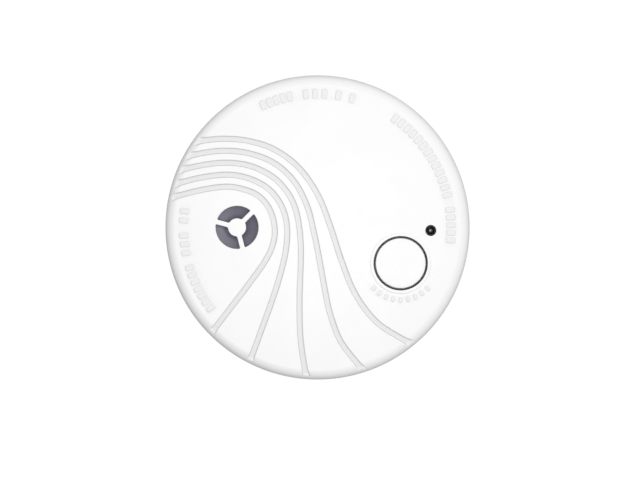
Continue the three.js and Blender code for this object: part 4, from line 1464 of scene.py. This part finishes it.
fine(chamber_base(), "chamber_base")
fine(chamber_cap(), "chamber_cap")
fine(insect_gauze(), "insect_gauze")
for node in OPTIC_ANGLES:
    fine(optical_part(node), node)


def soft_disc(node, name, edge, segments=128):
    """A plain round plate in a node's place, its edges rounded."""
    return pin(name, *round_box(node), edge, segments)


def piezo_ceramic():
    """The ceramic, with its silver electrode a little smaller than itself."""
    spot, radius, bottom, top = round_box("piezo_ceramic")
    electrode, step = radius - 0.9, bottom + 0.04
    corners = [
        (0, bottom, 0), (electrode, bottom, 0.02), (electrode, step, 0.01), (radius, step, 0.05),
        (radius, top, 0.05), (0, top, 0),
    ]  # fmt: skip
    return turned("piezo_ceramic_disc", corners, 128, spot)


def contact_foot(node):
    """The turned cup on the board that the contact spring stands in."""
    spot, _, bottom, _ = round_box(node)
    top = bottom + 3.3
    corners = [(0, bottom, 0), (1.3, bottom, 0.15), (1.3, top - 0.5, 0.3), (0.75, top, 0.1), (0, top, 0)]
    return turned(node + "_foot", corners, 32, spot)


fine(soft_disc("piezo_plate", "piezo_brass_plate", 0.12), "piezo_plate")
fine(piezo_ceramic(), "piezo_ceramic")
for index in (1, 2, 3):
    node = f"sounder_contact_{index}"
    fine(contact_foot(node), node)
    spot, _, bottom, top = round_box(node)
    coil = helix(node + "_spring", spot, 0.48, 0.11, 12, bottom + 3.4, top - 0.12, steps=20, around=8)
    fine(coil, node)


def status_led():
    """A small lamp with a flange at its foot and a domed lens."""
    _, _, bottom, top = round_box("status_led")
    corners = [
        (0, bottom, 0), (1.9, bottom, 0.1), (1.9, bottom + 0.8, 0.15), (1.5, bottom + 0.8, 0.05),
        (1.5, top - 1.1, 0.5), (0.8, top - 0.1, 0.5), (0, top, 0),
    ]  # fmt: skip
    return turned("status_lamp", corners, 48, LED)


def button_retainer():
    """The plate that the button's spring stands on, with a hole for the stem."""
    _, outer, bottom, top = round_box("button_retainer")
    inner = 2.5
    corners = [(inner, bottom, 0.15), (outer, bottom, 0.25), (outer, top, 0.25), (inner, top, 0.3)]
    return turned("button_spring_plate", corners, 128, BUTTON)


def tact_switch():
    """A square switch with its metal cover's four rivet heads round the plunger's hole."""
    _, _, bottom, top = round_box("tact_switch")
    body = prism("tact_switch_case", rounded_square(BUTTON, 6, 6, 0.4), bottom, top - 0.3, 0.12)
    lid = prism("lid", rounded_square(BUTTON, 5.5, 5.5, 0.4), top - 0.6, top - 0.12, 0.06)
    corners = on_circle(BUTTON, 3.1, range(45, 360, 90))
    rivets = [pin("rivet", spot, 0.35, top - 0.5, top, 0.1, 20) for spot in corners]
    combined(body, [lid, *rivets])
    return cut(body, [pin("hole", BUTTON, 1.95, bottom + 1, top + 1)])


fine(status_led(), "status_led")
fine(button_retainer(), "button_retainer")
fine(tact_switch(), "tact_switch")
fine(soft_disc("tact_switch_plunger", "tact_switch_cap", 0.35, 48), "tact_switch_plunger", "button_body")


def battery():
    """A cell on its side: crimped rim and raised pole at one end, its sleeve lapped over both ends."""
    low, high, spot = low_mm("battery"), high_mm("battery"), middle("battery")
    radius, pole = (high.z - low.z) / 2, 1.3
    half = (high.x - low.x - pole) / 2
    corners = [
        (0, -half + 0.15, 0), (radius - 1.6, -half + 0.15, 0.1), (radius - 1.2, -half, 0.1),
        (radius, -half, 0.8), (radius, half - 2.6, 0.3), (radius - 0.35, half - 2.1, 0.3),
        (radius, half - 1.6, 0.3), (radius, half, 0.7), (radius - 1.3, half, 0.1),
        (radius - 1.6, half - 0.2, 0.1), (3.2, half - 0.2, 0.15), (3.2, half + pole, 0.5),
        (0, half + pole, 0),
    ]  # fmt: skip
    cell = turned("battery_cell", corners, 96)
    return lay(cell, 0, (low.x + half, spot.y), spot.z)


def battery_cradle():
    """The saddle: a rounded block with a half-round bed for the cell."""
    low, high, spot = low_mm("battery_cradle"), high_mm("battery_cradle"), middle("battery_cradle").xy
    outline = rounded_square(spot, high.x - low.x, high.y - low.y, 1.2)
    body = prism("battery_saddle", outline, low.z, high.z, 0.3)
    cell = middle("battery")
    reach = (high_mm("battery").z - low_mm("battery").z) / 2 + 0.15
    bed = turned("bed", [(0, -20, 0), (reach, -20, 0), (reach, 20, 0), (0, 20, 0)], 96)
    return cut(body, [lay(bed, 0, (spot[0], spot[1]), cell.z)])


def battery_tab(node, side):
    """A nickel strip up the cell's end, bent outwards at the board."""
    low, high = low_mm(node), high_mm(node)
    near = low.x if side > 0 else high.x
    thick, radius = 0.3, 0.6
    outline = [(0, high.z, 0.1), (0, low.z, radius), (3.35, low.z, 0.1), (3.35, low.z + thick, 0.1)]
    outline += [(thick, low.z + thick, radius - thick), (thick, high.z, 0.1)]
    section = [(near + side * x, z) for x, z in soft_profile(outline)]
    points = [(x, y, z) for y in (low.y, high.y) for x, z in section]
    return closed_object(node + "_strip", points, bar_faces(len(section)))


fine(battery(), "battery")
fine(battery_cradle(), "battery_cradle")
fine(battery_tab("battery_tab_positive", 1), "battery_tab_positive")
fine(battery_tab("battery_tab_negative", -1), "battery_tab_negative")


def base_switch():
    """The switch that the pin works, square to the pin's radius."""
    bottom, top = low_mm("base_switch").z, high_mm("base_switch").z
    return prism("base_switch_case", rounded_square(PIN_SPOT, 6, 6, 0.4, PIN_ANGLE), bottom, top, 0.15)


def base_switch_pin():
    """The pin that rides on the base's ramp, with the flange that stops it in its guide."""
    _, _, tip, top = round_box("base_switch_pin")
    foot, flange, neck, flange_bottom, flange_top = 1.5, 2.5, 1.2, tip + 5.6, tip + 6.8
    corners = [
        (0, tip, 0), (foot, tip + 0.25, 0.9), (foot, flange_bottom, 0.1), (flange, flange_bottom, 0.15),
        (flange, flange_top, 0.15), (neck, flange_top, 0.05), (neck, top, 0.2), (0, top, 0),
    ]  # fmt: skip
    return turned("base_switch_plunger", corners, 48, PIN_SPOT)


fine(base_switch(), "base_switch")
fine(base_switch_pin(), "base_switch_pin", "pin_body")
fine(soft_disc("rating_label", "blank_label", 0.05), "rating_label")


def circuit_board():
    """The board, notched round the case bosses and drilled for its screws, with its cut edge eased."""
    _, radius, bottom, top = round_box("circuit_board")
    board = pin("board", (0, 0), radius, bottom, top, 0.1, 288)
    removed = [pin("notch", spot, 4.7, bottom - 1, top + 1) for spot in CASE_SCREWS]
    removed += [pin("hole", spot, 1.3, bottom - 1, top + 1) for spot in BOARD_SCREWS]
    return cut(board, removed)


fine(circuit_board(), "circuit_board")


def button_spring():
    """The return spring round the button's stem."""
    _, outer, bottom, top = round_box("button_spring")
    wire = 0.45 / 2
    return helix("button_return_spring", BUTTON, outer - wire, wire, 5, bottom + wire, top - wire)


spring = fit(button_spring(), "head_body", "steel", "button_spring")
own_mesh(spring)


# ---- Stage, light and camera ----

# The camera looks straight down on the face.
VIEW_DISTANCE = 0.9
VIEW_WIDTH = 0.2355
VIEW_OFFSET = Vector((0.9, -4.63, 0)) * MM
OUTLINE_HEIGHT = 33.0 * MM


def glowing(name, strength, color, **sockets):
    """A white glow over a surface of some color."""
    look = Shader(name)
    look.set(Emission_Color=(1, 1, 1), Emission_Strength=strength, Base_Color=color, **sockets)
    return look


def floor():
    """A pale floor, clear from below. It casts no shadow, and no diffuse or glossy ray meets it."""
    bpy.ops.mesh.primitive_plane_add(size=6)
    plane = bpy.context.object
    plane.name = "floor"
    look = glowing("pale_floor", 0.93, (0.12, 0.12, 0.12), Roughness=0.9, Specular_IOR_Level=0.1)
    below = look.add("ShaderNodeNewGeometry").outputs["Backfacing"]
    clear = look.add("ShaderNodeBsdfTransparent").outputs[0]
    open_below = look.add("ShaderNodeMixShader", {0: below, 1: look.surface.outputs[0], 2: clear})
    look.feed(look.tree.nodes["Material Output"].inputs["Surface"], open_below.outputs[0])
    plane.data.materials.append(look.material)
    plane.visible_diffuse = False
    plane.visible_glossy = False
    plane.visible_shadow = False


def backdrop():
    """A pale sphere round everything, seen by the camera only."""
    bpy.ops.mesh.primitive_uv_sphere_add(radius=8, segments=48, ring_count=24)
    sphere = bpy.context.object
    sphere.name = "backdrop"
    look = glowing("pale_backdrop", 0.95, (0, 0, 0), Specular_IOR_Level=0)
    sphere.data.materials.append(look.material)
    for ray in ("visible_diffuse", "visible_glossy", "visible_shadow", "visible_transmission"):
        setattr(sphere, ray, False)


def aim(thing, place, target):
    """Stands a camera or light at a place, looking at a target, with +Y upwards in its view."""
    back = (place - target).normalized()
    right = Vector((0, 1, 0)).cross(back).normalized()
    turn = Matrix((right, back.cross(right), back)).transposed()
    thing.matrix_world = Matrix.Translation(place) @ turn.to_4x4()


SKY_HIGH = 0.70
SKY_LOW = 0.25
SKY_LEAN = 0.36
SKY_SIDE = Vector((1, 1, 0)).normalized()


def sky():
    """A soft white room, brighter above than below and towards the upper right of the face."""
    world = bpy.data.worlds.new("soft_room")
    bpy.context.scene.world = world
    world.use_nodes = True
    room = Nodes(world.node_tree)
    toward = room.add("ShaderNodeTexCoord").outputs["Generated"]
    height = room.add("ShaderNodeSeparateXYZ", {"Vector": toward}).outputs["Z"]
    spread = {"Value": height, "From Min": -0.3, "From Max": 0.3, "To Min": SKY_LOW, "To Max": SKY_HIGH}
    rise = room.add("ShaderNodeMapRange", spread, interpolation_type="SMOOTHSTEP").outputs["Result"]
    lean = room.add("ShaderNodeVectorMath", {0: toward, 1: SKY_SIDE * SKY_LEAN}, operation="DOT_PRODUCT")
    more = room.calculate("ADD", lean.outputs["Value"], 1)
    background = room.tree.nodes["Background"]
    background.inputs["Color"].default_value = (1, 1, 1, 1)
    room.feed(background.inputs["Strength"], room.calculate("MULTIPLY", rise, more))


KEY_PLACE = Vector((0.006, 0.008, 0.38))
KEY_SIZE = 0.22
KEY_WATTS = 0.455


def key_light():
    """A round soft light over the face, which it looks at."""
    light = bpy.data.lights.new("key_light", "AREA")
    light.shape = "DISK"
    light.size = KEY_SIZE
    light.energy = KEY_WATTS
    lamp = bpy.data.objects.new("key_light", light)
    bpy.context.scene.collection.objects.link(lamp)
    aim(lamp, KEY_PLACE, Vector((0, 0, 0.03)))


def camera():
    data = bpy.data.cameras.new("camera")
    data.sensor_width = 36
    data.lens = 36 * VIEW_DISTANCE / VIEW_WIDTH
    shot = bpy.data.objects.new("camera", data)
    bpy.context.scene.collection.objects.link(shot)
    bpy.context.scene.camera = shot
    target = VIEW_OFFSET + Vector((0, 0, OUTLINE_HEIGHT))
    aim(shot, target + Vector((0, 0, VIEW_DISTANCE)), target)


floor()
backdrop()
sky()
key_light()
camera()
bpy.context.scene.view_settings.view_transform = "Standard"
